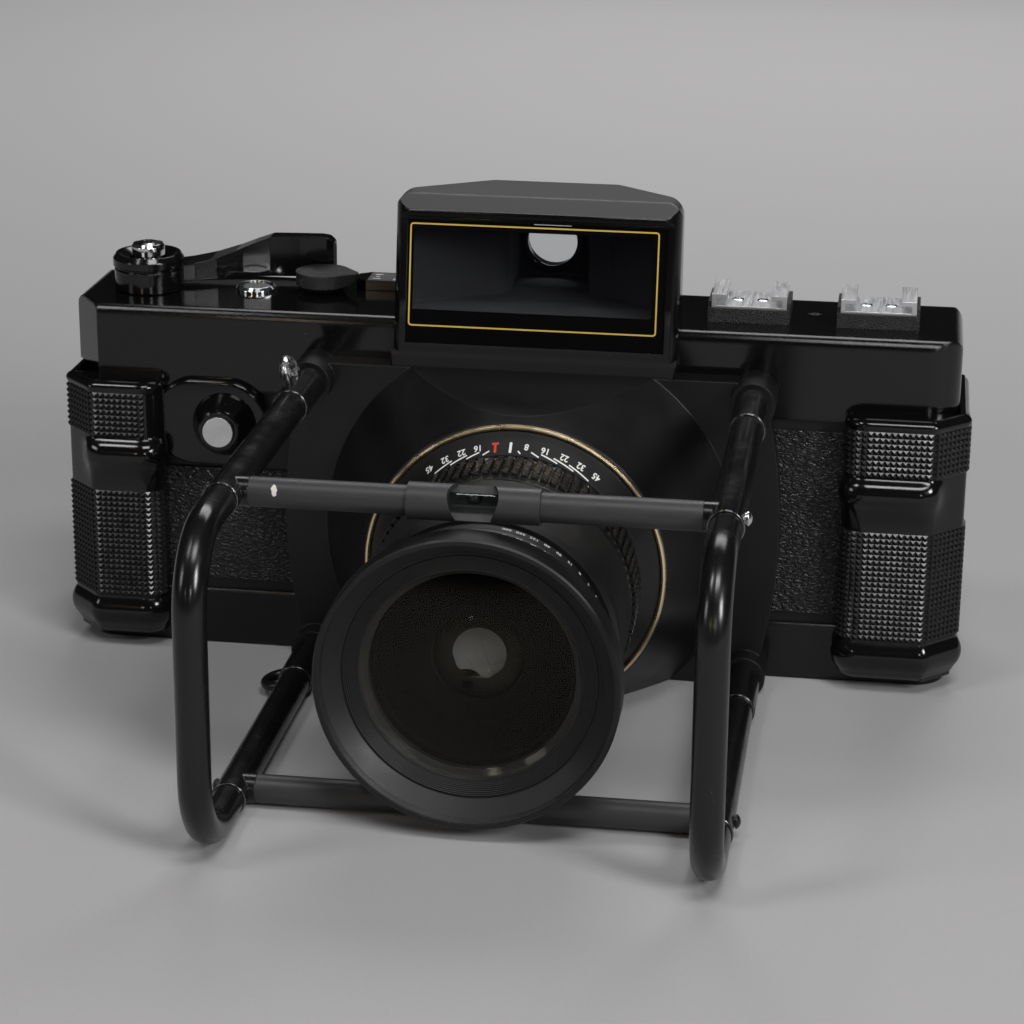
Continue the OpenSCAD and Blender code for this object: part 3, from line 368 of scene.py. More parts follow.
def bar(length, width, slant=0.0, cuts=0):
    """A flat printed bar in millimetres, turned by slant: rounded, or cut up so that it can follow a ring."""
    piece = plane(length * MM, width * MM)
    pick_all(piece)
    if cuts:
        bpy.ops.mesh.subdivide(number_cuts=cuts)
    else:
        bpy.ops.mesh.bevel(offset=min(length, width) * 0.3 * MM, segments=3, affect="VERTICES")
    bpy.ops.mesh.select_all(action="SELECT")
    extrude((0, 0, PRINT * MM))
    leave()
    return settle(close_up(piece), Matrix.Rotation(slant, 4, "Z"))


def on_ring(piece, angle, forward, radius_at):
    """Wrap a flat piece on a ring of the lens, to be read from behind.

    The angle runs clockwise from the top, seen from the front.
    """
    for vertex in piece.data.vertices:
        across, along, lift = vertex.co
        ahead = forward * MM + along
        radius = radius_at(ahead / MM) * MM + lift
        at = math.radians(angle) - across / radius
        vertex.co = (radius * math.sin(at), -ahead, LENS_Z + radius * math.cos(at))
    return piece


def lay(piece, origin, right, up):
    """Lay a flat piece on a plane given by a point, its right and its up."""
    right, up = Vector(right).normalized(), Vector(up).normalized()
    out = right.cross(up)
    place = Matrix((right, up, out)).transposed().to_4x4()
    place.translation = Vector(origin)
    return settle(piece, place)


def present(piece, name, body, paint, stands_for=(), angle=35):
    """Name the finished piece, paint it, and let it ride on its body."""
    take(piece)
    piece.name = name
    piece.data.name = name
    piece.data.materials.clear()
    piece.data.materials.append(FINISHES[paint])
    bpy.ops.object.shade_smooth_by_angle(angle=math.radians(angle))
    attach(piece, body)
    if stands_for:
        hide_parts(*stands_for)
    return piece


# Finishes

class Surface:
    """One finish, built from shader nodes on the piece's own coordinates."""

    def __init__(self, name, colour, roughness, metallic=0.0, shine=0.5):
        self.material = bpy.data.materials.new(name)
        self.material.use_nodes = True
        self.tree = self.material.node_tree
        self.shader = self.tree.nodes["Principled BSDF"]
        self.base = (*colour[:3], 1)
        self.put(base_color=self.base, roughness=roughness, metallic=metallic, specular_ior_level=shine)
        self.spot = self.node("ShaderNodeTexCoord").outputs["Object"]
        self.colour = self.rough = self.normal = None

    def put(self, **values):
        """Set inputs of the shader."""
        names = {"ior": "IOR", "specular_ior_level": "Specular IOR Level"}
        for key, value in values.items():
            self.shader.inputs[names.get(key, key.replace("_", " ").title())].default_value = value

    def node(self, kind, inputs=None, **options):
        """A new node with its inputs set or linked."""
        made = self.tree.nodes.new(kind)
        for key, value in options.items():
            setattr(made, key, value)
        for key, value in (inputs or {}).items():
            if isinstance(value, bpy.types.NodeSocket):
                self.tree.links.new(value, made.inputs[key])
            else:
                made.inputs[key].default_value = value
        return made

    def calc(self, how, a, b=0.0):
        return self.node("ShaderNodeMath", {0: a, 1: b}, operation=how).outputs[0]

    def stretched(self, scale, where=None):
        return self.node("ShaderNodeMapping", {"Vector": where or self.spot, "Scale": scale}).outputs[0]

    def moved(self, by):
        return self.node("ShaderNodeMapping", {"Vector": self.spot, "Location": by}).outputs[0]

    def noise(self, size, detail=3.0, where=None):
        """Soft noise whose features are about this many millimetres."""
        return self.node("ShaderNodeTexNoise", {"Vector": where or self.spot, "Scale": 1000 / size,
                                                "Detail": detail, "Roughness": 0.55}).outputs["Fac"]

    def cells(self, size, feature="F1", where=None):
        return self.node("ShaderNodeTexVoronoi", {"Vector": where or self.spot, "Scale": 1000 / size},
                         feature=feature).outputs["Distance"]

    def band(self, value, low, high, to_low=0.0, to_high=1.0):
        return self.node("ShaderNodeMapRange", {0: value, 1: low, 2: high, 3: to_low, 4: to_high}).outputs[0]

    def tint(self, mask, colour):
        """Lay a second colour where the mask is 1."""
        mix = self.node("ShaderNodeMix", {0: mask, 6: self.colour or self.base, 7: (*colour[:3], 1)},
                        data_type="RGBA")
        self.colour = mix.outputs[2]
        return self

    def vary(self, mask, low, high):
        """Roughness from low to high over the mask."""
        self.rough = self.band(mask, 0.3, 0.7, low, high)
        return self

    def roughen(self, mask, to):
        """Another roughness where the mask is 1."""
        start = self.rough if self.rough is not None else self.shader.inputs["Roughness"].default_value
        mix = self.node("ShaderNodeMix", {0: mask, 2: start, 3: to}, data_type="FLOAT")
        self.rough = mix.outputs[0]
        return self

    def emboss(self, height, depth):
        """Raise the surface by height times depth millimetres."""
        inputs = {"Height": height, "Distance": depth * MM, "Strength": 1.0}
        if self.normal is not None:
            inputs["Normal"] = self.normal
        self.normal = self.node("ShaderNodeBump", inputs).outputs[0]
        return self

    def soften(self, radius):
        """Rounded edges of this radius in millimetres."""
        self.normal = self.node("ShaderNodeBevel", {"Radius": radius * MM}, samples=4).outputs[0]
        return self

    def edge_mask(self, radius, broken=2.0, low=0.05, high=0.3):
        """1 on rubbed edges, broken up by noise."""
        rounded = self.node("ShaderNodeBevel", {"Radius": radius * MM}, samples=4).outputs[0]
        flat = self.node("ShaderNodeNewGeometry").outputs["Normal"]
        dot = self.node("ShaderNodeVectorMath", {0: rounded, 1: flat}, operation="DOT_PRODUCT").outputs["Value"]
        edge = self.band(self.calc("SUBTRACT", 1.0, dot), low, high)
        return self.calc("MULTIPLY", edge, self.band(self.noise(broken, 4), 0.42, 0.62))

    def near(self, point, radius, broken=1.0, squeeze=(1, 1, 1)):
        """1 in a ragged spot about a point, both in millimetres, drawn out where squeeze is under 1."""
        away = self.stretched(squeeze, self.moved(Vector(point) * -MM))
        gap = self.node("ShaderNodeVectorMath", {0: away}, operation="LENGTH").outputs["Value"]
        ragged = self.calc("ADD", self.calc("MULTIPLY", gap, 1 / (radius * MM)),
                          self.calc("MULTIPLY", self.calc("SUBTRACT", self.noise(broken, 4), 0.5), 1.6))
        return self.band(ragged, 1.0, 0.85)

    def dust(self, spacing=5.0, amount=0.05, colour=(0.16, 0.16, 0.16)):
        """Fine specks."""
        wide = self.noise(spacing * 9, 2)
        speck = self.band(self.cells(spacing), amount, amount * 0.35)
        self.tint(self.calc("MULTIPLY", speck, self.band(wide, 0.45, 0.62, 0.0, 0.7)), colour)
        return self

    def done(self):
        """Link what was built to the shader."""
        for socket, value in (("Base Color", self.colour), ("Roughness", self.rough), ("Normal", self.normal)):
            if value is not None:
                self.tree.links.new(value, self.shader.inputs[socket])
        return self.material


def enamel(name, rough):
    """Gloss black enamel with a trace of orange peel, dust and rubbed edges."""
    s = Surface(name, colours().gloss_black, rough)
    s.soften(1.4).emboss(s.noise(2.4, 2), 0.0012)
    s.vary(s.noise(28, 5), rough * 0.8, rough * 1.4)
    s.tint(s.band(s.noise(60, 3), 0.35, 0.7, 0.0, 0.5), (0.0045, 0.0045, 0.005))
    s.tint(s.edge_mask(0.35, 3.0, 0.12, 0.4), (0.02, 0.0195, 0.019))
    return s.dust(4.2, 0.045).done()


def moulding(name, rough, grain, depth, colour=(0.0035, 0.0035, 0.0038)):
    """Moulded black plastic."""
    s = Surface(name, colour, rough)
    s.soften(0.5).emboss(s.noise(grain, 2), depth)
    s.vary(s.noise(16, 4), rough * 0.85, rough * 1.35)
    s.tint(s.band(s.noise(35, 3), 0.4, 0.7, 0.0, 0.6), tuple(c * 1.5 for c in colour))
    return s.dust(5.5, 0.045).done()


def finder_plastic(name):
    """Gloss black sides, a satin roof whose up-facing top is painted lighter as a painted sheen, dust, and a matt
    black tunnel inside.
    """
    s = Surface(name, (0.0035, 0.0035, 0.0038), 0.13)
    low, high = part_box("finder_housing")
    s.soften(1.1).emboss(s.noise(3.0, 2), 0.002)
    s.vary(s.noise(18, 4), 0.11, 0.18)
    facing = s.node("ShaderNodeNewGeometry").outputs["Normal"]
    place = s.node("ShaderNodeSeparateXYZ", {0: s.spot}).outputs
    turn = s.node("ShaderNodeSeparateXYZ", {0: facing}).outputs
    # Painted sheen: the up-facing top of the roof is painted lighter grey, and made rougher, to stand in for the
    # light on it.
    roof = s.calc("MULTIPLY", s.band(turn[2], 0.55, 0.8), s.band(place[2], high.z - 6 * MM, high.z - 4 * MM))
    s.tint(roof, (0.060, 0.060, 0.061)).roughen(roof, 0.42)
    outward = s.calc("ADD", s.calc("MULTIPLY", place[0], turn[0]),
                    s.calc("MULTIPLY", s.calc("SUBTRACT", place[2], 117 * MM), turn[2]))
    back_wall = s.calc("MULTIPLY", s.band(turn[1], -0.5, -0.8), s.band(place[1], low.y + 18 * MM, low.y + 20 * MM))
    inside = s.calc("MAXIMUM", s.band(outward, -1 * MM, -2 * MM), back_wall)
    s.tint(inside, (0.0015, 0.0015, 0.002)).roughen(inside, 0.9)
    return s.dust(5.5, 0.045).done()


def casting(name, rough, depth):
    """Black painted casting with a fine crackle."""
    s = Surface(name, (0.008, 0.008, 0.0085), rough, shine=0.4)
    s.soften(0.4).emboss(s.noise(0.55, 3), depth)
    s.vary(s.noise(20, 4), rough - 0.08, rough + 0.1)
    s.tint(s.edge_mask(0.3, 2.5, 0.12, 0.4), (0.05, 0.049, 0.048))
    return s.dust(3.4, 0.06).done()


def front_paint(name):
    """Satin black of the front plate and its cone: fine texture, pale specks of dust."""
    s = Surface(name, colours().satin_black, 0.36, shine=0.4)
    s.soften(0.5).emboss(s.noise(0.42, 3), 0.008).emboss(s.noise(5, 3), 0.004)
    s.vary(s.noise(12, 5), 0.31, 0.42)
    s.tint(s.band(s.noise(30, 4), 0.4, 0.75, 0.0, 0.6), (0.009, 0.009, 0.0095))
    s.tint(s.edge_mask(0.35, 3.0, 0.1, 0.35), (0.05, 0.05, 0.05))
    return s.dust(2.6, 0.06, (0.22, 0.22, 0.22)).done()


def anodised(name, rough):
    """Black anodised turning with fine tool lines round the lens axis."""
    s = Surface(name, colours().satin_black, rough, shine=0.45)
    lines = s.noise(0.25, 2, s.stretched((0.004, 1.0, 0.004)))
    s.soften(0.25).emboss(lines, 0.003)
    s.vary(s.noise(9, 4), rough - 0.05, rough + 0.07)
    s.tint(s.edge_mask(0.22, 1.5, 0.15, 0.45), (0.06, 0.058, 0.056))
    return s.dust(3.2, 0.05).done()


def inner_black(name):
    """Matt black inside the lens, with a faint bloom."""
    s = Surface(name, (0.0016, 0.0016, 0.0017), 0.85, shine=0.05)
    s.emboss(s.noise(4.0, 2), 0.004)
    return s.vary(s.noise(6, 3), 0.75, 0.95).done()


def tube_paint(name, rough):
    """Semi-gloss black paint of the guard's tubes, chipped at its edges."""
    s = Surface(name, (0.0055, 0.0055, 0.006), rough)
    s.soften(0.3).emboss(s.noise(2.2, 3), 0.006)
    s.vary(s.noise(8, 5), rough - 0.04, rough + 0.1)
    s.tint(s.edge_mask(0.3, 1.2, 0.12, 0.4), (0.16, 0.155, 0.15))
    return s.dust(3.6, 0.055).done()


def sleeve_paint(name):
    """Matt sleeve of the cross rods, with one chip down to pale filler."""
    s = Surface(name, (0.034, 0.034, 0.0352), 0.42)
    s.soften(0.2).emboss(s.noise(0.5, 2), 0.008)
    s.vary(s.noise(6, 4), 0.38, 0.5)
    chip = s.near((-51.0, -136.4, 88.9), 0.75, 1.4, (1.0, 0.42, 0.42))
    s.tint(chip, (0.72, 0.69, 0.65))
    s.tint(s.edge_mask(0.25, 1.0, 0.12, 0.4), (0.10, 0.098, 0.095))
    return s.dust(2.4, 0.06).done()


def leather(name):
    """Creased leatherette: small pebbles drawn out sideways, with fine pores and painted shade in the creases."""
    s = Surface(name, (0.0125, 0.0125, 0.0128), 0.32)
    wavy = s.node("ShaderNodeVectorMath", {0: s.spot, 1: s.node("ShaderNodeVectorMath", {
        0: s.node("ShaderNodeTexNoise", {"Vector": s.spot, "Scale": 420.0, "Detail": 2.0}).outputs["Color"],
        "Scale": 0.0019}, operation="SCALE").outputs[0]}, operation="ADD").outputs[0]
    wide = s.cells(1.15, "DISTANCE_TO_EDGE", s.stretched((0.42, 1.0, 1.0), wavy))
    fine = s.cells(0.55, "DISTANCE_TO_EDGE", s.stretched((0.6, 1.0, 1.0), wavy))
    pebbles = s.band(wide, 0.0, 0.26)
    s.emboss(pebbles, 0.34).emboss(s.band(fine, 0.0, 0.18), 0.06).emboss(s.noise(0.2, 2), 0.012)
    s.vary(s.noise(2.0, 3), 0.22, 0.36)
    s.roughen(s.band(wide, 0.07, 0.0), 0.75)
    # Painted shade: the creases between the pebbles are painted darker.
    s.tint(s.band(wide, 0.10, 0.0, 0.0, 0.8), (0.002, 0.002, 0.002))
    return s.dust(2.2, 0.06).done()


def rubber(name, rough):
    """Moulded black rubber, a little greyed on its edges."""
    s = Surface(name, colours().rubber_black, rough)
    s.soften(0.1).emboss(s.noise(0.22, 2), 0.004)
    s.vary(s.noise(4, 4), rough - 0.07, rough + 0.1)
    s.tint(s.edge_mask(0.18, 1.0, 0.05, 0.3), (0.022, 0.022, 0.022))
    return s.dust(1.6, 0.07).done()


def steel(name, grain=(1.0, 0.02, 1.0), rough=0.36, colour=(0.90, 0.905, 0.92)):
    """Bright brushed metal with its grain along one direction."""
    s = Surface(name, colour, rough, 1.0)
    brushed = s.noise(0.18, 3, s.stretched(grain))
    s.soften(0.25).emboss(brushed, 0.004)
    s.vary(brushed, rough - 0.08, rough + 0.1)
    s.tint(s.band(s.noise(7, 4), 0.45, 0.75, 0.0, 0.5), tuple(c * 0.8 for c in colour))
    return s.dust(2.5, 0.06, (0.3, 0.3, 0.3)).done()


def chrome(name):
    """Polished plating with faint wiping marks."""
    s = Surface(name, (0.76, 0.765, 0.78), 0.09, 1.0)
    s.soften(0.2).vary(s.noise(3, 5), 0.06, 0.2)
    return s.tint(s.band(s.noise(5, 4), 0.55, 0.8, 0.0, 0.6), (0.5, 0.5, 0.52)).done()


def radial_brush(name, middle):
    """Metal brushed outwards from a middle point on the camera's front."""
    s = Surface(name, (0.98, 0.98, 0.99), 0.34, 1.0)
    parts = s.node("ShaderNodeSeparateXYZ", {0: s.moved(Vector(middle) * -MM)})
    angle = s.calc("ARCTAN2", parts.outputs[2], parts.outputs[0])
    ray = s.node("ShaderNodeCombineXYZ", {0: s.calc("MULTIPLY", angle, 0.016)}).outputs[0]
    brushed = s.noise(0.35, 3, ray)
    s.soften(0.3).emboss(brushed, 0.04)
    s.vary(brushed, 0.26, 0.44)
    return s.tint(s.band(brushed, 0.35, 0.7), (0.74, 0.745, 0.76)).done()


def gilt(name, rough):
    """Champagne gold with fine tool lines."""
    s = Surface(name, colours().gold, rough, 1.0)
    s.soften(0.15).emboss(s.noise(0.2, 2, s.stretched((0.01, 1.0, 0.01))), 0.002)
    s.vary(s.noise(5, 3), rough - 0.04, rough + 0.08)
    return s.tint(s.band(s.noise(9, 3), 0.5, 0.8, 0.0, 0.3), (0.92, 0.74, 0.46)).done()


def brass(name):
    """Dull brass, darkened in patches."""
    s = Surface(name, (0.66, 0.47, 0.20), 0.33, 1.0)
    s.soften(0.15).vary(s.noise(2.5, 4), 0.26, 0.45)
    return s.tint(s.band(s.noise(4, 4), 0.5, 0.75, 0.0, 0.6), (0.42, 0.27, 0.10)).done()


def worn_paint(name, spot, radius, broken, ragged=True):
    """Black paint rubbed through to bright metal in one place, and whole everywhere else."""
    s = Surface(name, (0.006, 0.006, 0.006), 0.3)
    bare_metal = s.near(spot, radius, broken)
    if ragged:
        bare_metal = s.calc("MULTIPLY", bare_metal, s.band(s.noise(1.6, 5), 0.34, 0.5))
    s.soften(0.2).emboss(s.noise(1.2, 4), 0.03)
    s.tint(bare_metal, (0.74, 0.74, 0.75)).roughen(bare_metal, 0.24)
    s.tree.links.new(bare_metal, s.shader.inputs["Metallic"])
    return s.done()


def clear_glass(name, colour, bloom=(1, 1, 1)):
    """Glass that lets the lamps light what lies behind it. The bloom colours and weakens its reflections."""
    s = Surface(name, colour, 0.0)
    s.put(transmission_weight=1.0, ior=1.5, specular_tint=(*bloom, 1))
    s.vary(s.noise(14, 4), 0.0, 0.004)
    s.done()
    clear = s.node("ShaderNodeBsdfTransparent", {"Color": (*[c ** 0.5 for c in colour[:3]], 1)}).outputs[0]
    ray = s.node("ShaderNodeLightPath")
    passes = s.calc("MAXIMUM", ray.outputs["Is Shadow Ray"], ray.outputs["Is Diffuse Ray"])
    mix = s.node("ShaderNodeMixShader", {0: passes, 1: s.shader.outputs[0], 2: clear})
    s.tree.links.new(mix.outputs[0], s.tree.nodes["Material Output"].inputs["Surface"])
    return s.material


def print_paint(name, colour, rough=0.5):
    """Printed or filled marks, a little uneven."""
    s = Surface(name, colour, rough)
    s.emboss(s.noise(0.2, 2), 0.004)
    s.vary(s.noise(1.2, 3), rough - 0.1, rough + 0.12)
    return s.tint(s.band(s.noise(0.9, 4), 0.5, 0.75, 0.0, 0.5), tuple(c * 0.7 for c in colour[:3])).done()


def knob_leather(name):
    """Fine grain on the selector knob's top."""
    s = Surface(name, (0.014, 0.014, 0.0145), 0.46)
    grain = s.cells(0.62, "DISTANCE_TO_EDGE", s.stretched((1.0, 0.8, 1.0)))
    s.soften(0.2).emboss(s.band(grain, 0.0, 0.22), 0.09).emboss(s.noise(0.2, 2), 0.02)
    return s.vary(s.noise(3, 3), 0.38, 0.56).done()


FINISHES = {}


def mix_finishes():
    """One finish for each material slot of the record, and those of the fine pieces."""
    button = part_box("release_plunger")
    middle = (button[0] + button[1]) / 2 / MM
    low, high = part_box("guard_screws")
    screw = Vector((high.x, (low.y + high.y) / 2, high.z - 1.9 * MM)) / MM
    for maker, name, *looks in (
            (casting, "black_casting", 0.46, 0.03),
            (enamel, "gloss_black", 0.1),
            (front_paint, "satin_black"),
            (anodised, "lens_black", 0.46),
            (inner_black, "lens_inner"),
            (casting, "matt_black_metal", 0.6, 0.015),
            (tube_paint, "guard_black", 0.2),
            (sleeve_paint, "sleeve_black"),
            (steel, "bright_steel"),
            (worn_paint, "worn_lug", (-66.6, -49.5, 98.3), 6.2, 3.4),
            (worn_paint, "screw_paint", (screw.x, screw.y, screw.z), 5.0, 9.0, False),
            (chrome, "bright_chrome"),
            (radial_brush, "brushed_button", middle),
            (gilt, "gold_ring", 0.28),
            (brass, "brass_gear"),
            (leather, "leatherette"),
            (moulding, "grip_black", 0.11, 3.0, 0.002),
            (moulding, "gloss_black_plastic", 0.12, 2.4, 0.002),
            (finder_plastic, "finder_black"),
            (knob_leather, "matt_black_plastic"),
            (moulding, "spool_plastic", 0.42, 0.8, 0.01),
            (moulding, "counter_black", 0.5, 0.6, 0.01),
            (rubber, "pad_rubber", 0.2),
            (rubber, "focus_rubber", 0.26),
            (clear_glass, "finder_glass", (0.93, 0.95, 0.97), (0.22, 0.25, 0.42)),
            (clear_glass, "lens_glass", (0.86, 0.86, 0.84), (0.22, 0.20, 0.17)),
            (clear_glass, "coated_glass", (0.86, 0.87, 0.89), (1.0, 0.95, 0.9)),
            (clear_glass, "vial_glass", (0.42, 0.46, 0.44)),
            (print_paint, "white_mark", colours().mark_white),
            (print_paint, "red_mark", (0.62, 0.05, 0.025)),
            (print_paint, "orange_mark", (0.75, 0.20, 0.03)),
            (print_paint, "grey_plate", (0.09, 0.09, 0.092), 0.4),
            (print_paint, "gold_line", (0.66, 0.45, 0.10), 0.35),
            (moulding, "border_black", 0.08, 6.0, 0.001, (0.002, 0.002, 0.0022)),
            (steel, "ring_metal", (1.0, 1.0, 1.0), 0.16, (0.20, 0.20, 0.205)),
            (steel, "blade_steel", (0.3, 1.0, 1.0), 0.5, (0.52, 0.53, 0.55))):
        FINISHES[name] = maker(name, *looks)


class CAMERA_OT_finishes(bpy.types.Operator):
    """Paint every solid of the camera with its finish"""

    bl_idname = "camera_looks.finishes"
    bl_label = "Finishes of the solids"

    def execute(self, context):
        mix_finishes()
        for part in frame["record"]["subparts"]:
            node = frame["nodes"][part["node"]]
            node.data.materials.clear()
            kind = "screw_paint" if part["node"] == "guard_screws" else part["material_slot"]
            node.data.materials.append(FINISHES[kind])
        return {"FINISHED"}


# Grips and their pads

def ease(share):
    """A smooth step from 0 to 1."""
    share = min(max(share, 0.0), 1.0)
    return share * share * (3 - 2 * share)


def arc(middle, radius, start, end, steps):
    """Points and outward normals on an arc in plan; the angle runs from -X over -Y to +X."""
    turns = [start + (end - start) * i / steps for i in range(steps + 1)]
    return [((middle[0] - radius * math.cos(a), middle[1] - radius * math.sin(a)), (-math.cos(a), -math.sin(a)))
            for a in turns]


def grip_path(inner, outer, front, margin=0.0):
    """Points and outward normals along a grip's plan, from its inner edge round to its end, in metres."""
    corner, flat, edge, run = GRIP_CORNER * MM, GRIP_FLAT * MM, GRIP_EDGE * MM, GRIP_RUN * MM
    depth_inside, depth_outside = 4.7 * MM, 17.8 * MM
    start = math.acos(1 - margin / corner) if margin else math.asin((corner - depth_inside) / corner)
    path = arc((inner + corner, front + corner), corner, start, math.pi / 2, 24)
    path += arc((outer - flat - run, front + edge), edge, math.pi / 2, math.pi * 0.75, 8)
    path += arc((outer - edge, front + flat + run), edge, math.pi * 0.75, math.pi, 8)
    path.append(((outer, front + depth_outside), (1.0, 0.0)))
    return path


def grip_outline(wide):
    """Closed plan of a grip whose end is at x = 0, in millimetres.

    Each place has its point, its normal, its shares of the ridge and the lip, and the most rounding it takes.
    """
    start, last = -wide + GRIP_CORNER, -GRIP_FLAT - GRIP_RUN
    outer = [((-wide, BODY_FRONT), (-1.0, 0.0)), ((-wide, BODY_FRONT - 1.3), (-1.0, 0.0))]
    outer += arc((start, GRIP_FRONT + GRIP_CORNER), GRIP_CORNER, 0.0, math.pi / 2, 14)
    outer += [((start + (last - start) * i / 24, GRIP_FRONT), (0.0, -1.0)) for i in range(1, 24)]
    outer += arc((last, GRIP_FRONT + GRIP_EDGE), GRIP_EDGE, math.pi / 2, math.pi * 0.75, 6)
    corner = arc((-GRIP_EDGE, GRIP_FRONT + GRIP_FLAT + GRIP_RUN), GRIP_EDGE, math.pi * 0.75, math.pi, 6)
    (x0, y0), (x1, y1) = outer[-1][0], corner[0][0]
    outer += [((x0 + (x1 - x0) * i / 8, y0 + (y1 - y0) * i / 8), (0.7071, -0.7071)) for i in range(1, 8)]
    outer += corner
    outer += [((0.0, -16.0 + 5.5 * i), (1.0, 0.0)) for i in range(7)]
    outer += arc((-BACK_CORNER, GRIP_BACK - BACK_CORNER), BACK_CORNER, math.pi, math.pi * 1.5, 5)
    outline = []
    for (x, y), normal in outer:
        ridge = ease((y - BODY_FRONT) / (GRIP_FRONT - BODY_FRONT)) * (1 - ease((x - RIDGE_RUNS_OUT) / RIDGE_RUN))
        lip = ease((LIP_STARTS - y) / LIP_RUN) * ease((y - BODY_FRONT + 1.0) / -4 if x < start else 1.0)
        most = RIDGE_ROUNDING if ridge > 0.5 else PLAIN_ROUNDING
        outline.append(((x, y), normal, ridge, lip, most))
    outline.append(((GRIP_WALL, GRIP_BACK), (0.0, 1.0), 0.0, 0.0, PLAIN_ROUNDING))
    outline.append(((GRIP_WALL, BODY_FRONT), (0.0, 0.0), 0.0, 0.0, 0.0))
    return outline


def grip_side(z):
    """Edge rounding, finger ridge and lip of a grip at a height, in millimetres."""
    rounding = ridge = lip = 0.0
    above, below = z - (GRIP_HIGH - ROUND_TOP), GRIP_LOW + ROUND_LOW - z
    if above > 0:
        rounding = ROUND_TOP - math.sqrt(max(0.0, ROUND_TOP ** 2 - above ** 2))
    elif below > 0:
        rounding = ROUND_LOW - math.sqrt(max(0.0, ROUND_LOW ** 2 - below ** 2))
    if RIDGE_JOIN <= z < RIDGE_END:
        ridge = max(0.0, math.sqrt(RIDGE_RADIUS ** 2 - (z - RIDGE_NOSE) ** 2) - RIDGE_SUNK)
    elif RIDGE_FOOT < z < RIDGE_JOIN:
        ridge = RIDGE_HOLLOW - math.sqrt(RIDGE_HOLLOW ** 2 - (z - RIDGE_FOOT) ** 2)
    if LOW_LIP < z < LOW_LIP + LOW_LIP_TALL:
        lip = LOW_LIP_OUT * math.sin(math.pi * (z - LOW_LIP) / LOW_LIP_TALL) ** 0.8
    elif z > TOP_LIP:
        lip = TOP_LIP_OUT * math.sin(math.pi * min(1.0, (z - TOP_LIP) / TOP_LIP_TALL)) ** 0.8
    return rounding, ridge, lip


def moulded_grip(wide, end, sign):
    """A grip as one smooth moulding, its end at x = end."""
    outline = grip_outline(wide)
    low, high = GRIP_LOW + ROUND_LOW, GRIP_HIGH - ROUND_TOP
    levels = [GRIP_LOW + ROUND_LOW * (1 - math.cos(math.pi / 2 * i / 8)) for i in range(8)]
    levels += [low + (high - low) * i / 110 for i in range(111)]
    levels += [high + ROUND_TOP * math.sin(math.pi / 2 * i / 8) for i in range(1, 9)]
    around = len(outline)
    grip = grid(around, len(levels) - 1)
    for index, vertex in enumerate(grip.data.vertices):
        z = levels[index // (around + 1)]
        (x, y), normal, share, lip_share, most = outline[index % (around + 1) % around]
        rounding, ridge, lip = grip_side(z)
        out = ridge * share + lip * lip_share - min(rounding, most)
        vertex.co = (end + sign * (x + normal[0] * out) * MM, (y + normal[1] * out) * MM, z * MM)
    return cap(grip)


class CAMERA_OT_grips(bpy.types.Operator):
    """Smooth moulded grips, and the plate of the front release on one of them"""

    bl_idname = "camera_looks.grips"
    bl_label = "Grips"

    def execute(self, context):
        plain = moulded_grip(PLAIN_WIDE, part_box("grip_plain_side")[1].x, 1)
        present(plain, "grip_plain", "camera", "grip_black", ("grip_plain_side",))

        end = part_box("grip_release_side")[0].x
        grip = moulded_grip(RELEASE_WIDE, end, -1)
        low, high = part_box("release_plunger")
        middle = (low + high) / 2
        radius, thick, hole, reach, gap = 13, 2.95, 3.5, 26, 0.05
        inner = end + reach * MM
        place = Matrix.Translation((middle.x, (BODY_FRONT - gap - thick / 2) * MM, middle.z)) @ FORWARD
        plate = round_faces(rod(radius, thick, 96), lambda at, normal: normal.z > 0.9, 1.1, 4)
        for vertex in plate.data.vertices:
            if vertex.co.x < -1e-6:
                vertex.co.x -= middle.x - inner - radius * MM
        cut(settle(plate, place), [rod(hole, 4 * thick, 48, place)])
        present(join([grip, plate]), "grip_release", "camera", "grip_black", ("grip_release_side",))
        return {"FINISHED"}


def pyramid_sheet(run, rise):
    """A rubber sheet of full pyramids, its run along X and its rise along Y."""
    pitch = sizes().pyramid_pitch
    sheet = grid(round(run / pitch), round(rise / pitch))
    sheet.scale = (run, rise, 1)
    settle(sheet)
    modify(sheet, "SOLIDIFY", thickness=0.1 * MM, offset=1.0)
    pick(sheet, lambda middle, normal: normal.z > 0.5)
    bpy.ops.mesh.poke(offset=sizes().pyramid_height)
    leave()
    return sheet


def wrap_on_path(sheet, path, run, height, mirror_at=None):
    """Bend a flat sheet along a path seen in plan."""
    lengths = [0.0]
    for (p, _), (q, _) in zip(path, path[1:]):
        lengths.append(lengths[-1] + math.dist(p, q))
    for vertex in sheet.data.vertices:
        along = min(max(vertex.co.x + run / 2, 0.0), lengths[-1])
        i = next(k for k in range(1, len(lengths)) if along <= lengths[k] + 1e-9)
        share = (along - lengths[i - 1]) / max(lengths[i] - lengths[i - 1], 1e-9)
        (px, py), (nx, ny) = path[i - 1]
        (qx, qy), (mx, my) = path[i]
        out = Vector((nx + (mx - nx) * share, ny + (my - ny) * share)).normalized()
        x = px + (qx - px) * share + out.x * vertex.co.z
        y = py + (qy - py) * share + out.y * vertex.co.z
        vertex.co = (x if mirror_at is None else 2 * mirror_at - x, y, vertex.co.y + height)
    return close_up(sheet)


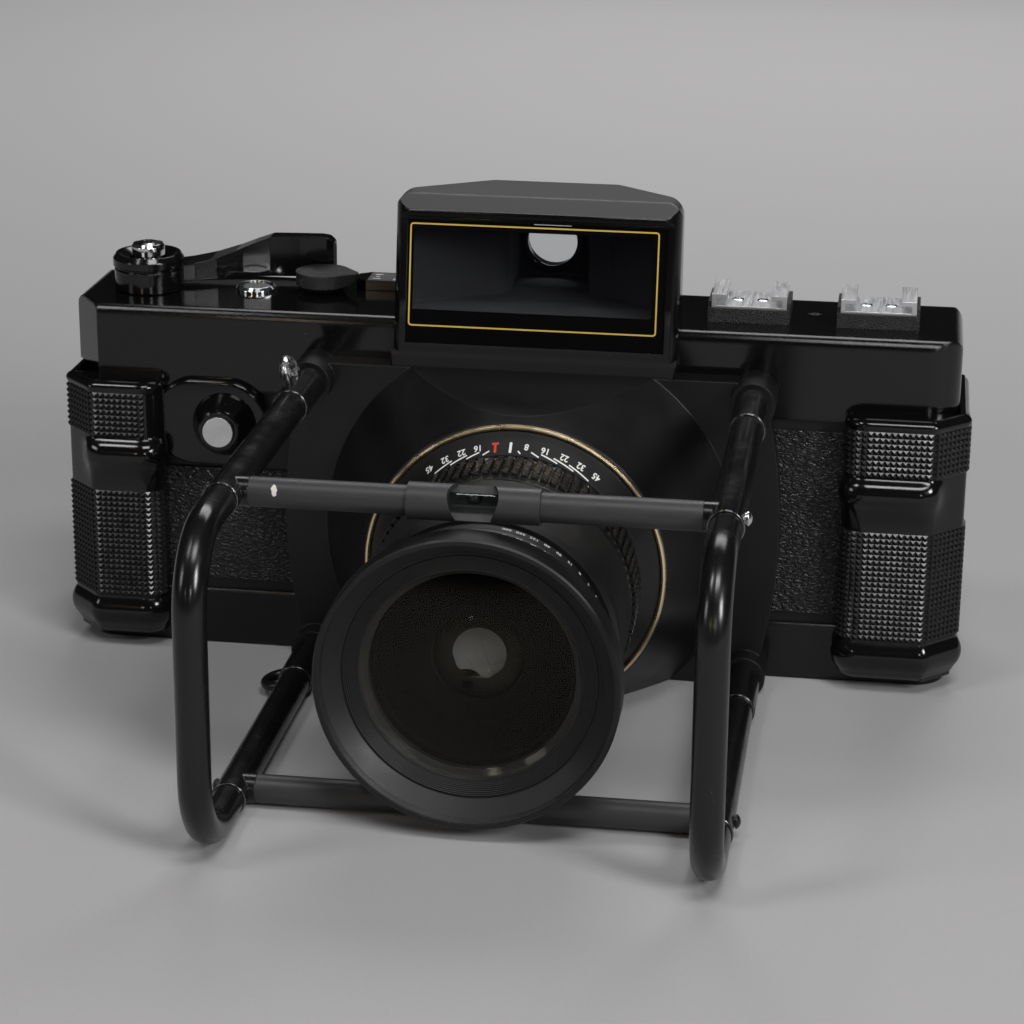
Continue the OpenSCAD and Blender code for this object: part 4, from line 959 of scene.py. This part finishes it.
class CAMERA_OT_grip_pads(bpy.types.Operator):
    """Rubber pads of small pyramids on both grips"""

    bl_idname = "camera_looks.grip_pads"
    bl_label = "Grip pads"

    def execute(self, context):
        skin, inner_skin = 0.85 * MM, 0.65 * MM
        for name, mirrored in (("pads_plain_side", False), ("pads_release_side", True)):
            low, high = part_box(name)
            middle = (low.x + high.x) / 2
            pads = []
            plate_margin = 4.4 * MM if mirrored else 0.0
            for bottom, top, margin in ((low.z, LOWER_PAD_TOP * MM, 0.0),
                                        (UPPER_PAD_LOW * MM, high.z, plate_margin)):
                path = grip_path(low.x + inner_skin, high.x - skin, low.y + skin, margin)
                run = sum(math.dist(p, q) for (p, _), (q, _) in zip(path, path[1:]))
                sheet = pyramid_sheet(run, top - bottom)
                pads.append(wrap_on_path(sheet, path, run, (top + bottom) / 2, middle if mirrored else None))
            present(join(pads), name.replace("pads", "pyramids"), "camera", "pad_rubber", (name,), 20)
        return {"FINISHED"}


# Lens

class CAMERA_OT_focus_rubber(bpy.types.Operator):
    """Focusing ring with ribs of small slanted blocks"""

    bl_idname = "camera_looks.focus_rubber"
    bl_label = "Focusing ring"

    def execute(self, context):
        low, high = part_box("focus_ring")
        back, front, top = -high.y / MM, -low.y / MM, high.x / MM
        bore, land_back, land_front, gap, slant = 33.86, 1.6, 2.7, 0.34, 0.55
        core = turned([(bore, back), (top - 0.95, back), (top - 0.9, back + 0.1), (top - 0.9, back + 1.2),
                       (top - 1.1, back + 1.4), (top - 1.1, front - land_front),
                       (top - 1.0, front - land_front + 0.2), (top - 1.0, front - 0.3), (top - 1.25, front),
                       (bore, front)], Matrix.Identity(4), 168)
        count = sizes().blocks_per_rib
        pitch = (front - back - land_back - land_front) / count
        cell = block(1.6, 1.2, pitch - gap, (0, top - 0.6, back + land_back + pitch / 2))
        pick(cell, lambda middle, normal: normal.z > 0.5)
        bpy.ops.transform.translate(value=(slant * MM, 0, 0))
        pick(cell, lambda middle, normal: normal.y > 0.5)
        bpy.ops.mesh.inset(thickness=0.22 * MM, use_boundary=True)
        leave()
        for vertex in cell.data.vertices:
            on_top = vertex.co.y > (top - 0.1) * MM
            inset = abs(vertex.co.x) < 0.95 * MM and on_top
            if on_top and not inset:
                vertex.co.y -= 0.2 * MM
        modify(cell, "ARRAY", count=count, use_relative_offset=False, use_constant_offset=True,
               constant_offset_displace=(0, 0, pitch * MM))
        spin_copies(cell, sizes().rib_count)
        ring = settle(join([core, cell]), ON_LENS)
        present(ring, "focus_rubber", "focus", "focus_rubber", ("focus_ring",), 25)
        return {"FINISHED"}


class CAMERA_OT_lens_scales(bpy.types.Operator):
    """Digits, lines and index marks on the rings of the lens"""

    bl_idname = "camera_looks.lens_scales"
    bl_label = "Lens scales"

    def execute(self, context):
        size = sizes().digit_size
        back, wide, run, narrow, mean = 61.0, 41.1, 6.8, 36.4, 37.0

        def cone(h):
            """Radius of the sloping ring with the depth scale, at h ahead of the origin."""
            return wide + (narrow - wide) * (h - back) / run

        marks = [on_ring(bar(0.75, 3.0), -1.0, 65.7, cone)]
        for digits, angle, start in DEPTH_DIGITS:
            marks.append(on_ring(lettering(digits, size), angle, 65.1, cone))
            sweep = math.radians(angle - start) * mean
            side = 1 if sweep > 0 else -1
            reach = abs(sweep) - 1.2
            line = bar(reach, 0.36, cuts=6, slant=-math.atan2(1.0, reach) * side)
            middle = (angle + start) / 2 - math.degrees(0.6 / mean) * side
            marks.append(on_ring(line, middle, 66.9, cone))
        present(join(marks), "depth_marks", "camera", "white_mark")

        red = join([on_ring(bar(0.7, 2.6), -7.5, 65.8, cone), on_ring(bar(2.0, 0.6), -7.5, 64.5, cone)])
        present(red, "red_index", "camera", "red_mark")

        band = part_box("focus_ring")[1].x / MM - 0.9
        at = -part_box("focus_ring")[1].y / MM + 0.62
        far = [on_ring(lettering(digits, size * 0.42), angle, at, lambda h: band)
               for digits, angle in DISTANCES]
        present(join(far), "distance_digits", "focus", "white_mark")

        first, shrink = 10.9, 0.72
        for name, words, step, slope in (("speed", SPEEDS, 6.3, 0.0), ("aperture", STOPS, 6.6, 0.5 / 3.8)):
            low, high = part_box(name + "_ring")
            ahead, radius = -(low.y + high.y) / 2 / MM, high.x / MM

            def wall(h, radius=radius, ahead=ahead, slope=slope):
                """Radius of this ring at h ahead of the origin."""
                return radius - slope * (h - ahead + 1.9)

            row = [on_ring(lettering(word, size * shrink), first + step * i, ahead, wall)
                   for i, word in enumerate(words)]
            present(join(row), name + "_digits", name, "white_mark")

        edge = -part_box("speed_ring")[1].y / MM - 1.2
        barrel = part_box("lens_barrel")[1].x / MM

        def nose(h):
            """Radius of the barrel's rounded edge at h ahead of the origin."""
            return barrel - max(0.0, (h - edge + 0.5) / 1.4)

        index = [on_ring(bar(0.8, 1.9), -15.2, edge - 0.6, nose), on_ring(bar(1.9, 0.8), -6.6, edge - 0.5, nose)]
        present(join(index), "speed_index", "lens_unit", "white_mark")
        return {"FINISHED"}


class CAMERA_OT_lens_front(bpy.types.Operator):
    """Filter thread and the fine ridges round the front glass"""

    bl_idname = "camera_looks.lens_front"
    bl_label = "Lens front"

    def execute(self, context):
        front = -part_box("front_ring")[0].y / MM
        wall, pitch = 38.08, 0.46
        thread = [(wall, front - 3.1)]
        for i in range(6):
            start = front - 3.0 + pitch * i
            thread += [(wall - 0.32, start), (wall - 0.05, start + pitch / 2)]
        thread.append((wall, front - 0.25))
        present(turned(thread, ON_LENS, 160), "filter_thread", "lens_unit", "lens_black", (), 15)

        inner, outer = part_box("front_glass")[1].x / MM + 0.5, 33.2
        edge, pitch = front - 7.5, 0.5
        count = int((outer - inner) / pitch)
        ridges = [(inner, edge + 0.08)]
        for i in range(count):
            lift = edge + 0.15 + 0.6 * i / count
            ridges += [(inner + pitch * (i + 0.35), lift + 0.2), (inner + pitch * (i + 1), lift + 0.1)]
        ridges += [(outer, edge + 0.66)]
        present(turned(ridges, ON_LENS, 160), "glass_ridges", "lens_unit", "lens_black", (), 15)
        return {"FINISHED"}


class CAMERA_OT_shutter(bpy.types.Operator):
    """Round stop ahead of the iris, and the curved element and shutter blades behind it"""

    bl_idname = "camera_looks.shutter"
    bl_label = "Shutter"

    def execute(self, context):
        iris_front = -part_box("iris_blades")[0].y / MM
        iris_back = -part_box("iris_blades")[1].y / MM
        stop = turned([(radius, iris_front + ahead) for radius, ahead in (
            (6.7, 0.12), (6.9, 0.05), (11.6, 0.05), (11.8, 0.3), (11.4, 0.5), (7.4, 0.45))], ON_LENS, 96)
        present(stop, "round_stop", "lens_unit", "lens_inner", (), 25)

        curve, rim, top = 13.0, 8.4, iris_back - 0.4
        steps = [rim * i / 12 for i in range(12, 0, -1)]
        front = [(r, top - curve + math.sqrt(curve ** 2 - r ** 2)) for r in steps]
        element = disc([(ON_AXIS, iris_back - 4.6), (rim, iris_back - 4.4)] + front + [(ON_AXIS, top)], ON_LENS, 72)
        present(element, "curved_element", "lens_unit", "coated_glass", (), 60)

        blade = block(9.0, 6.6, 0.1, (0, 2.9, 0))
        pick_all(blade)
        bpy.ops.mesh.subdivide(number_cuts=3)
        leave()
        for vertex in blade.data.vertices:
            vertex.co.y += 12.0 * vertex.co.x ** 2
            vertex.co.z += 0.012 * vertex.co.x
        spin_copies(blade, 5)
        settle(blade, ON_LENS @ Matrix.Translation((0, 0, (iris_back - 5.2) * MM)))
        back = disc([(radius, iris_back - behind) for radius, behind in (
            (ON_AXIS, 6.4), (8.6, 6.4), (8.7, 6.1), (8.5, 5.8), (ON_AXIS, 5.8))], ON_LENS, 72)
        present(join([blade, back]), "shutter_blades", "lens_unit", "blade_steel", (), 30)
        return {"FINISHED"}


# Finder

class CAMERA_OT_finder_trim(bpy.types.Operator):
    """Black border and gold line on the finder's window, beads on its hood and the eyepiece's flange"""

    bl_idname = "camera_looks.finder_trim"
    bl_label = "Finder trim"

    def execute(self, context):
        low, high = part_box("finder_window")
        corners = [v.co for v in frame["nodes"]["finder_window"].data.vertices]
        top_y = min(c.y for c in corners if c.z > high.z - 1e-5)
        up = Vector((0, top_y - low.y, high.z - low.z)).normalized()

        def on_face(z):
            """The point of the sloping face at a height."""
            return Vector((0, low.y + (top_y - low.y) * (z - low.z) / (high.z - low.z), z))

        def on_window(left, right, bottom, top, forward):
            """The size and place of a sheet on the window's face, from its edges in millimetres."""
            size = ((right - left) * MM, (on_face(top * MM) - on_face(bottom * MM)).length)
            spot = on_face((bottom + top) / 2 * MM) + Vector(((left + right) / 2 * MM, 0, 0))
            return size, spot + Vector((0, -forward * MM, 0))

        half = high.x / MM - 0.15
        (wide, tall), spot = on_window(-half, half, low.z / MM + 0.2, high.z / MM - 0.2, 0.01)
        (view_wide, view_tall), view_spot = on_window(*CLEAR_VIEW, 0.01)
        border = grid(3, 3)
        shift = Vector((view_spot.x - spot.x, (view_spot - spot).dot(up)))
        for vertex in border.data.vertices:
            x, y = vertex.co.x, vertex.co.y
            vertex.co.x = x * wide if abs(x) > 0.4 else shift.x + math.copysign(view_wide / 2, x)
            vertex.co.y = y * tall if abs(y) > 0.4 else shift.y + math.copysign(view_tall / 2, y)
        pick(border, lambda middle, normal: (middle.xy - shift).length < 5 * MM)
        bpy.ops.mesh.delete(type="FACE")
        leave()
        modify(border, "SOLIDIFY", thickness=0.05 * MM, offset=1.0)
        lay(border, spot, (1, 0, 0), up)
        present(border, "finder_border", "camera", "border_black")

        (wide, tall), spot = on_window(*GOLD_FRAME, 0.065)
        line = plane(wide, tall)
        pick_all(line)
        bpy.ops.mesh.bevel(offset=1.0 * MM, segments=5, affect="VERTICES")
        bpy.ops.mesh.select_mode(type="FACE")
        bpy.ops.mesh.select_all(action="SELECT")
        bpy.ops.mesh.inset(thickness=sizes().gold_line)
        bpy.ops.mesh.delete(type="FACE")
        bpy.ops.mesh.select_all(action="SELECT")
        extrude((0, 0, 2 * PRINT * MM))
        leave()
        lay(close_up(line), spot, (1, 0, 0), up)
        present(line, "finder_gold_line", "camera", "gold_line")

        beads = []
        for radius, y, z in ((0.42, -21.85, 136.0), (0.3, -20.75, 134.0)):
            place = Matrix.Translation((0, y * MM, z * MM)) @ SIDEWAYS
            beads.append(round_faces(rod(radius, 74, 24, place), lambda at, normal: abs(normal.x) > 0.9,
                                     radius * 0.6, 4))
        present(join(beads), "hood_beads", "camera", "border_black", (), 40)

        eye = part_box("eyepiece_ring")
        middle = (eye[0] + eye[1]) / 2
        place = Matrix.Translation((middle.x, eye[0].y, middle.z)) @ FORWARD
        flange = turned([(7.5, 0.1), (9.3, 0.1), (9.6, 0.5), (9.6, 1.6), (9.2, 2.0), (8.0, 2.0), (7.5, 1.5)],
                        place, 72)
        present(flange, "eyepiece_flange", "camera", "gloss_black_plastic")
        return {"FINISHED"}


# Top controls

class CAMERA_OT_top_controls(bpy.types.Operator):
    """Counter digits, the selector's scale and the small marks on the top cover"""

    bl_idname = "camera_looks.top_controls"
    bl_label = "Top controls"

    def execute(self, context):
        low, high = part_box("counter_disc")
        middle = (low + high) / 2
        digits = []
        radius = 3.1 * MM
        for i, word in enumerate("12345678"):
            a = math.radians(90 - 26 * i)
            out = Vector((math.cos(a), math.sin(a), 0))
            spot = Vector((middle.x, middle.y, high.z + 0.01 * MM)) + out * radius
            digits.append(lay(lettering(word, 1.9 * MM), spot, (out.y, -out.x, 0), out))
        present(join(digits), "counter_digits", "counter", "white_mark")
        spot = (middle.x - 1.5 * MM, middle.y - 1.6 * MM, high.z + 0.5 * MM)
        pointer = lay(bar(2.2, 0.9), spot, (1, 0.4, 0), (-0.4, 1, 0))
        present(pointer, "counter_pointer", "camera", "orange_mark")

        low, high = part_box("selector_plate")
        top = high.z
        face = block((high.x - low.x) / MM - 4.4, (high.y - low.y) / MM - 1.2, 0.12,
                     ((low.x + high.x) / 2 / MM + 1.6, (low.y + high.y) / 2 / MM, top / MM + 0.06), 0.05, 1)
        present(face, "selector_face", "camera", "grey_plate")

        def on_plate(x, y):
            """A point on the plate's face, in millimetres from its corner."""
            return low.x + x * MM, low.y + y * MM, top + 0.13 * MM

        signs = [lay(lettering(word, 2.9 * MM), on_plate(13.5, y), (-1, 0, 0), (0, -1, 0))
                 for word, y in (("120", 2.6), ("220", 7.4))]
        signs += [lay(bar(length, 0.7), on_plate(6.3, y), (1, 0, 0), (0, 1, 0))
                  for y, length in ((2.6, 2.4), (7.4, 2.4), (5.0, 1.1))]
        present(join(signs), "selector_signs", "camera", "white_mark")

        spot = (78.9 * MM, 4.0 * MM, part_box("top_cover")[1].z)
        line = lay(bar(4.2, 0.35), spot, (1, 0, 0), (0, 1, 0))
        ring = turned([(0.95, 0), (1.3, 0), (1.3, PRINT), (0.95, PRINT)], Matrix.Translation(spot), 40)
        present(join([line, ring]), "film_plane_mark", "camera", "grey_plate")
        return {"FINISHED"}


class CAMERA_OT_shoe_screws(bpy.types.Operator):
    """Cross-head screws in the floors of the accessory shoes"""

    bl_idname = "camera_looks.shoe_screws"
    bl_label = "Shoe screws"

    def execute(self, context):
        low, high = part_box("shoe_rails")
        floor = low.z + 0.6 * MM
        screw = disc([(ON_AXIS, 0.0), (1.7, 0.0), (1.7, 0.16), (1.35, 0.34), (ON_AXIS, 0.42)], Matrix.Identity(4), 40)
        cross = [block(2.0, 0.42, 1.0, (0, 0, 0.65), 0.06, 1), block(0.42, 1.9, 1.0, (0, 0, 0.67), 0.06, 1)]
        cut(screw, cross)
        screws = []
        for x in (low.x / MM + 10.8, high.x / MM - 10.8):
            for i, across in enumerate((-3.6, 3.6)):
                place = (Matrix.Translation(((x + across) * MM, -1.4 * MM, floor))
                         @ Matrix.Rotation(0.5 + 1.1 * i + x * 0.01, 4, "Z"))
                screws.append(twin(screw, place))
        bpy.data.objects.remove(screw)
        present(join(screws), "shoe_screws", "camera", "bright_chrome", (), 30)
        return {"FINISHED"}


# Guard

class CAMERA_OT_guard_fittings(bpy.types.Operator):
    """Bubble of the level, and the thin rings where the guard's tubes meet"""

    bl_idname = "camera_looks.guard_fittings"
    bl_label = "Guard fittings"

    def execute(self, context):
        low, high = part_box("level_vial")
        middle = (low + high) / 2
        half = [(ON_AXIS, 2.0), (0.7, 1.9), (1.15, 1.4), (1.3, 0.6)]
        bubble = disc([(radius, -along) for radius, along in half] + half[::-1],
                      Matrix.Translation(middle + Vector((0, 0, 1.15 * MM))) @ SIDEWAYS, 32)
        present(bubble, "level_bubble", "camera", "vial_glass", (), 60)

        rings = []
        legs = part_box("guard_loop_right")
        tube = 4.3 * MM
        across, tall = (legs[0].x + legs[1].x) / 2, (legs[0].z + tube, legs[1].z - tube)
        for forward, radius in ((60.2, 4.62), (141.0, 4.4)):
            bead = turned([(radius + out, along) for out, along in (
                (0.0, -0.35), (0.3, -0.3), (0.42, 0.0), (0.3, 0.3), (0.0, 0.35))], FORWARD, 64)
            for x in (-across, across):
                for z in tall:
                    rings.append(twin(bead, Matrix.Translation((x, -forward * MM, z))))
            bpy.data.objects.remove(bead)
        rings = join(rings)
        for vertex in rings.data.vertices:
            vertex.co.z = max(vertex.co.z, 0.0)
        present(rings, "guard_rings", "camera", "ring_metal", (), 40)
        return {"FINISHED"}


# Stage

class CAMERA_OT_stage(bpy.types.Operator):
    """Grey paper sweep, soft lamps and the camera's own view"""

    bl_idname = "camera_looks.stage"
    bl_label = "Stage"

    def lamp(self, name, where, aim, wide, high, power, colour):
        """A soft lamp, turned to its aim."""
        bare()
        bpy.ops.object.light_add(type="AREA", location=where)
        lamp = bpy.context.object
        lamp.name = name
        lamp.data.shape = "RECTANGLE"
        lamp.data.size, lamp.data.size_y = wide, high
        lamp.data.energy = power
        lamp.data.color = colour
        lamp.rotation_euler = (Vector(aim) - Vector(where)).to_track_quat("-Z", "Y").to_euler()

    def paper(self):
        """A sheet that lies on the floor and sweeps up behind the camera, with painted light and shade on it."""
        paper = settle(plane(6.0, 4.6), Matrix.Translation((0, -0.8, -0.0004)))
        paper.name = "paper"
        take(paper)
        bpy.ops.object.mode_set(mode="EDIT")
        bpy.ops.mesh.select_mode(type="EDGE")
        bpy.ops.mesh.select_all(action="DESELECT")
        leave()
        for edge in paper.data.edges:
            edge.select = all(paper.data.vertices[i].co.y > 1.4 for i in edge.vertices)
        bpy.ops.object.mode_set(mode="EDIT")
        bend, steps = 0.4, 12
        for i in range(steps):
            a, b = math.pi / 2 * i / steps, math.pi / 2 * (i + 1) / steps
            extrude((0, bend * (math.sin(b) - math.sin(a)), bend * (math.cos(a) - math.cos(b))))
        extrude((0, 0, 2.0))
        leave()
        bpy.ops.object.shade_smooth()
        s = Surface("grey_paper", colours().floor, 0.85, shine=0.2)
        place = s.node("ShaderNodeSeparateXYZ", {0: s.spot}).outputs
        # Painted light and shade on the paper: uneven patches of tone, a painted pool of light that brightens it
        # towards the back, painted shade that darkens its front, and painted shade that darkens the sweep from 2 cm
        # up until it is almost black above 30 cm.
        for mask, share in ((s.band(s.noise(1.2, 4), 0.3, 0.8, 0.0, 0.35), 0.9), (s.band(place[1], 0.2, 1.2), 1.75),
                            (s.band(place[1], -0.55, -1.5), 0.25), (s.band(place[2], 0.02, 0.3), 0.04)):
            s.tint(mask, [c * share for c in colours().floor])
        paper.data.materials.append(s.emboss(s.noise(0.9, 3), 0.03).done())

    def execute(self, context):
        self.paper()
        for each in LAMPS:
            self.lamp(*each)
        world = bpy.data.worlds.new("room")
        bpy.context.scene.world = world
        world.use_nodes = True
        world.node_tree.nodes["Background"].inputs["Color"].default_value = (0.025, 0.025, 0.026, 1)

        az, el, roll = (math.radians(a) for a in VIEW_ANGLES)
        back = Vector((math.sin(az) * math.cos(el), -math.cos(az) * math.cos(el), math.sin(el)))
        right = Vector((math.cos(az), math.sin(az), 0))
        up = back.cross(right)
        across = right * math.cos(roll) + up * math.sin(roll)
        upright = up * math.cos(roll) - right * math.sin(roll)
        view = Matrix((across, upright, back)).transposed().to_4x4()
        view.translation = VIEW_PLACE
        bare()
        bpy.ops.object.camera_add()
        eye = bpy.context.object
        eye.matrix_world = view
        eye.data.sensor_width = 36.0
        eye.data.lens = VIEW_LENS
        eye.data.clip_start = 0.01
        bpy.context.scene.camera = eye
        bpy.context.scene.view_settings.view_transform = "Standard"
        return {"FINISHED"}


class CAMERA_PT_looks(bpy.types.Panel):
    """Lists the steps that dress the camera"""

    bl_idname = "CAMERA_PT_looks"
    bl_label = "Panoramic camera"
    bl_space_type = "VIEW_3D"
    bl_region_type = "UI"
    bl_category = "Camera"

    def draw(self, context):
        for group in (context.scene.camera_sizes, context.scene.camera_colours):
            for key in group.__annotations__:
                self.layout.prop(group, key)
        for step in STEPS:
            self.layout.operator(step.bl_idname)


STEPS = (CAMERA_OT_finishes, CAMERA_OT_grips, CAMERA_OT_grip_pads, CAMERA_OT_focus_rubber,
         CAMERA_OT_lens_scales, CAMERA_OT_lens_front, CAMERA_OT_shutter, CAMERA_OT_finder_trim,
         CAMERA_OT_top_controls, CAMERA_OT_shoe_screws, CAMERA_OT_guard_fittings, CAMERA_OT_stage)
CLASSES = (CameraSizes, CameraColours) + STEPS + (CAMERA_PT_looks,)


def register():
    for kind in CLASSES:
        bpy.utils.register_class(kind)
    bpy.types.Scene.camera_sizes = bpy.props.PointerProperty(type=CameraSizes)
    bpy.types.Scene.camera_colours = bpy.props.PointerProperty(type=CameraColours)


def unregister():
    del bpy.types.Scene.camera_sizes
    del bpy.types.Scene.camera_colours
    for kind in reversed(CLASSES):
        bpy.utils.unregister_class(kind)


def main():
    register()
    for step in STEPS:
        group, name = step.bl_idname.split(".")
        getattr(getattr(bpy.ops, group), name)()
    bare()


if __name__ == "__main__":
    main()
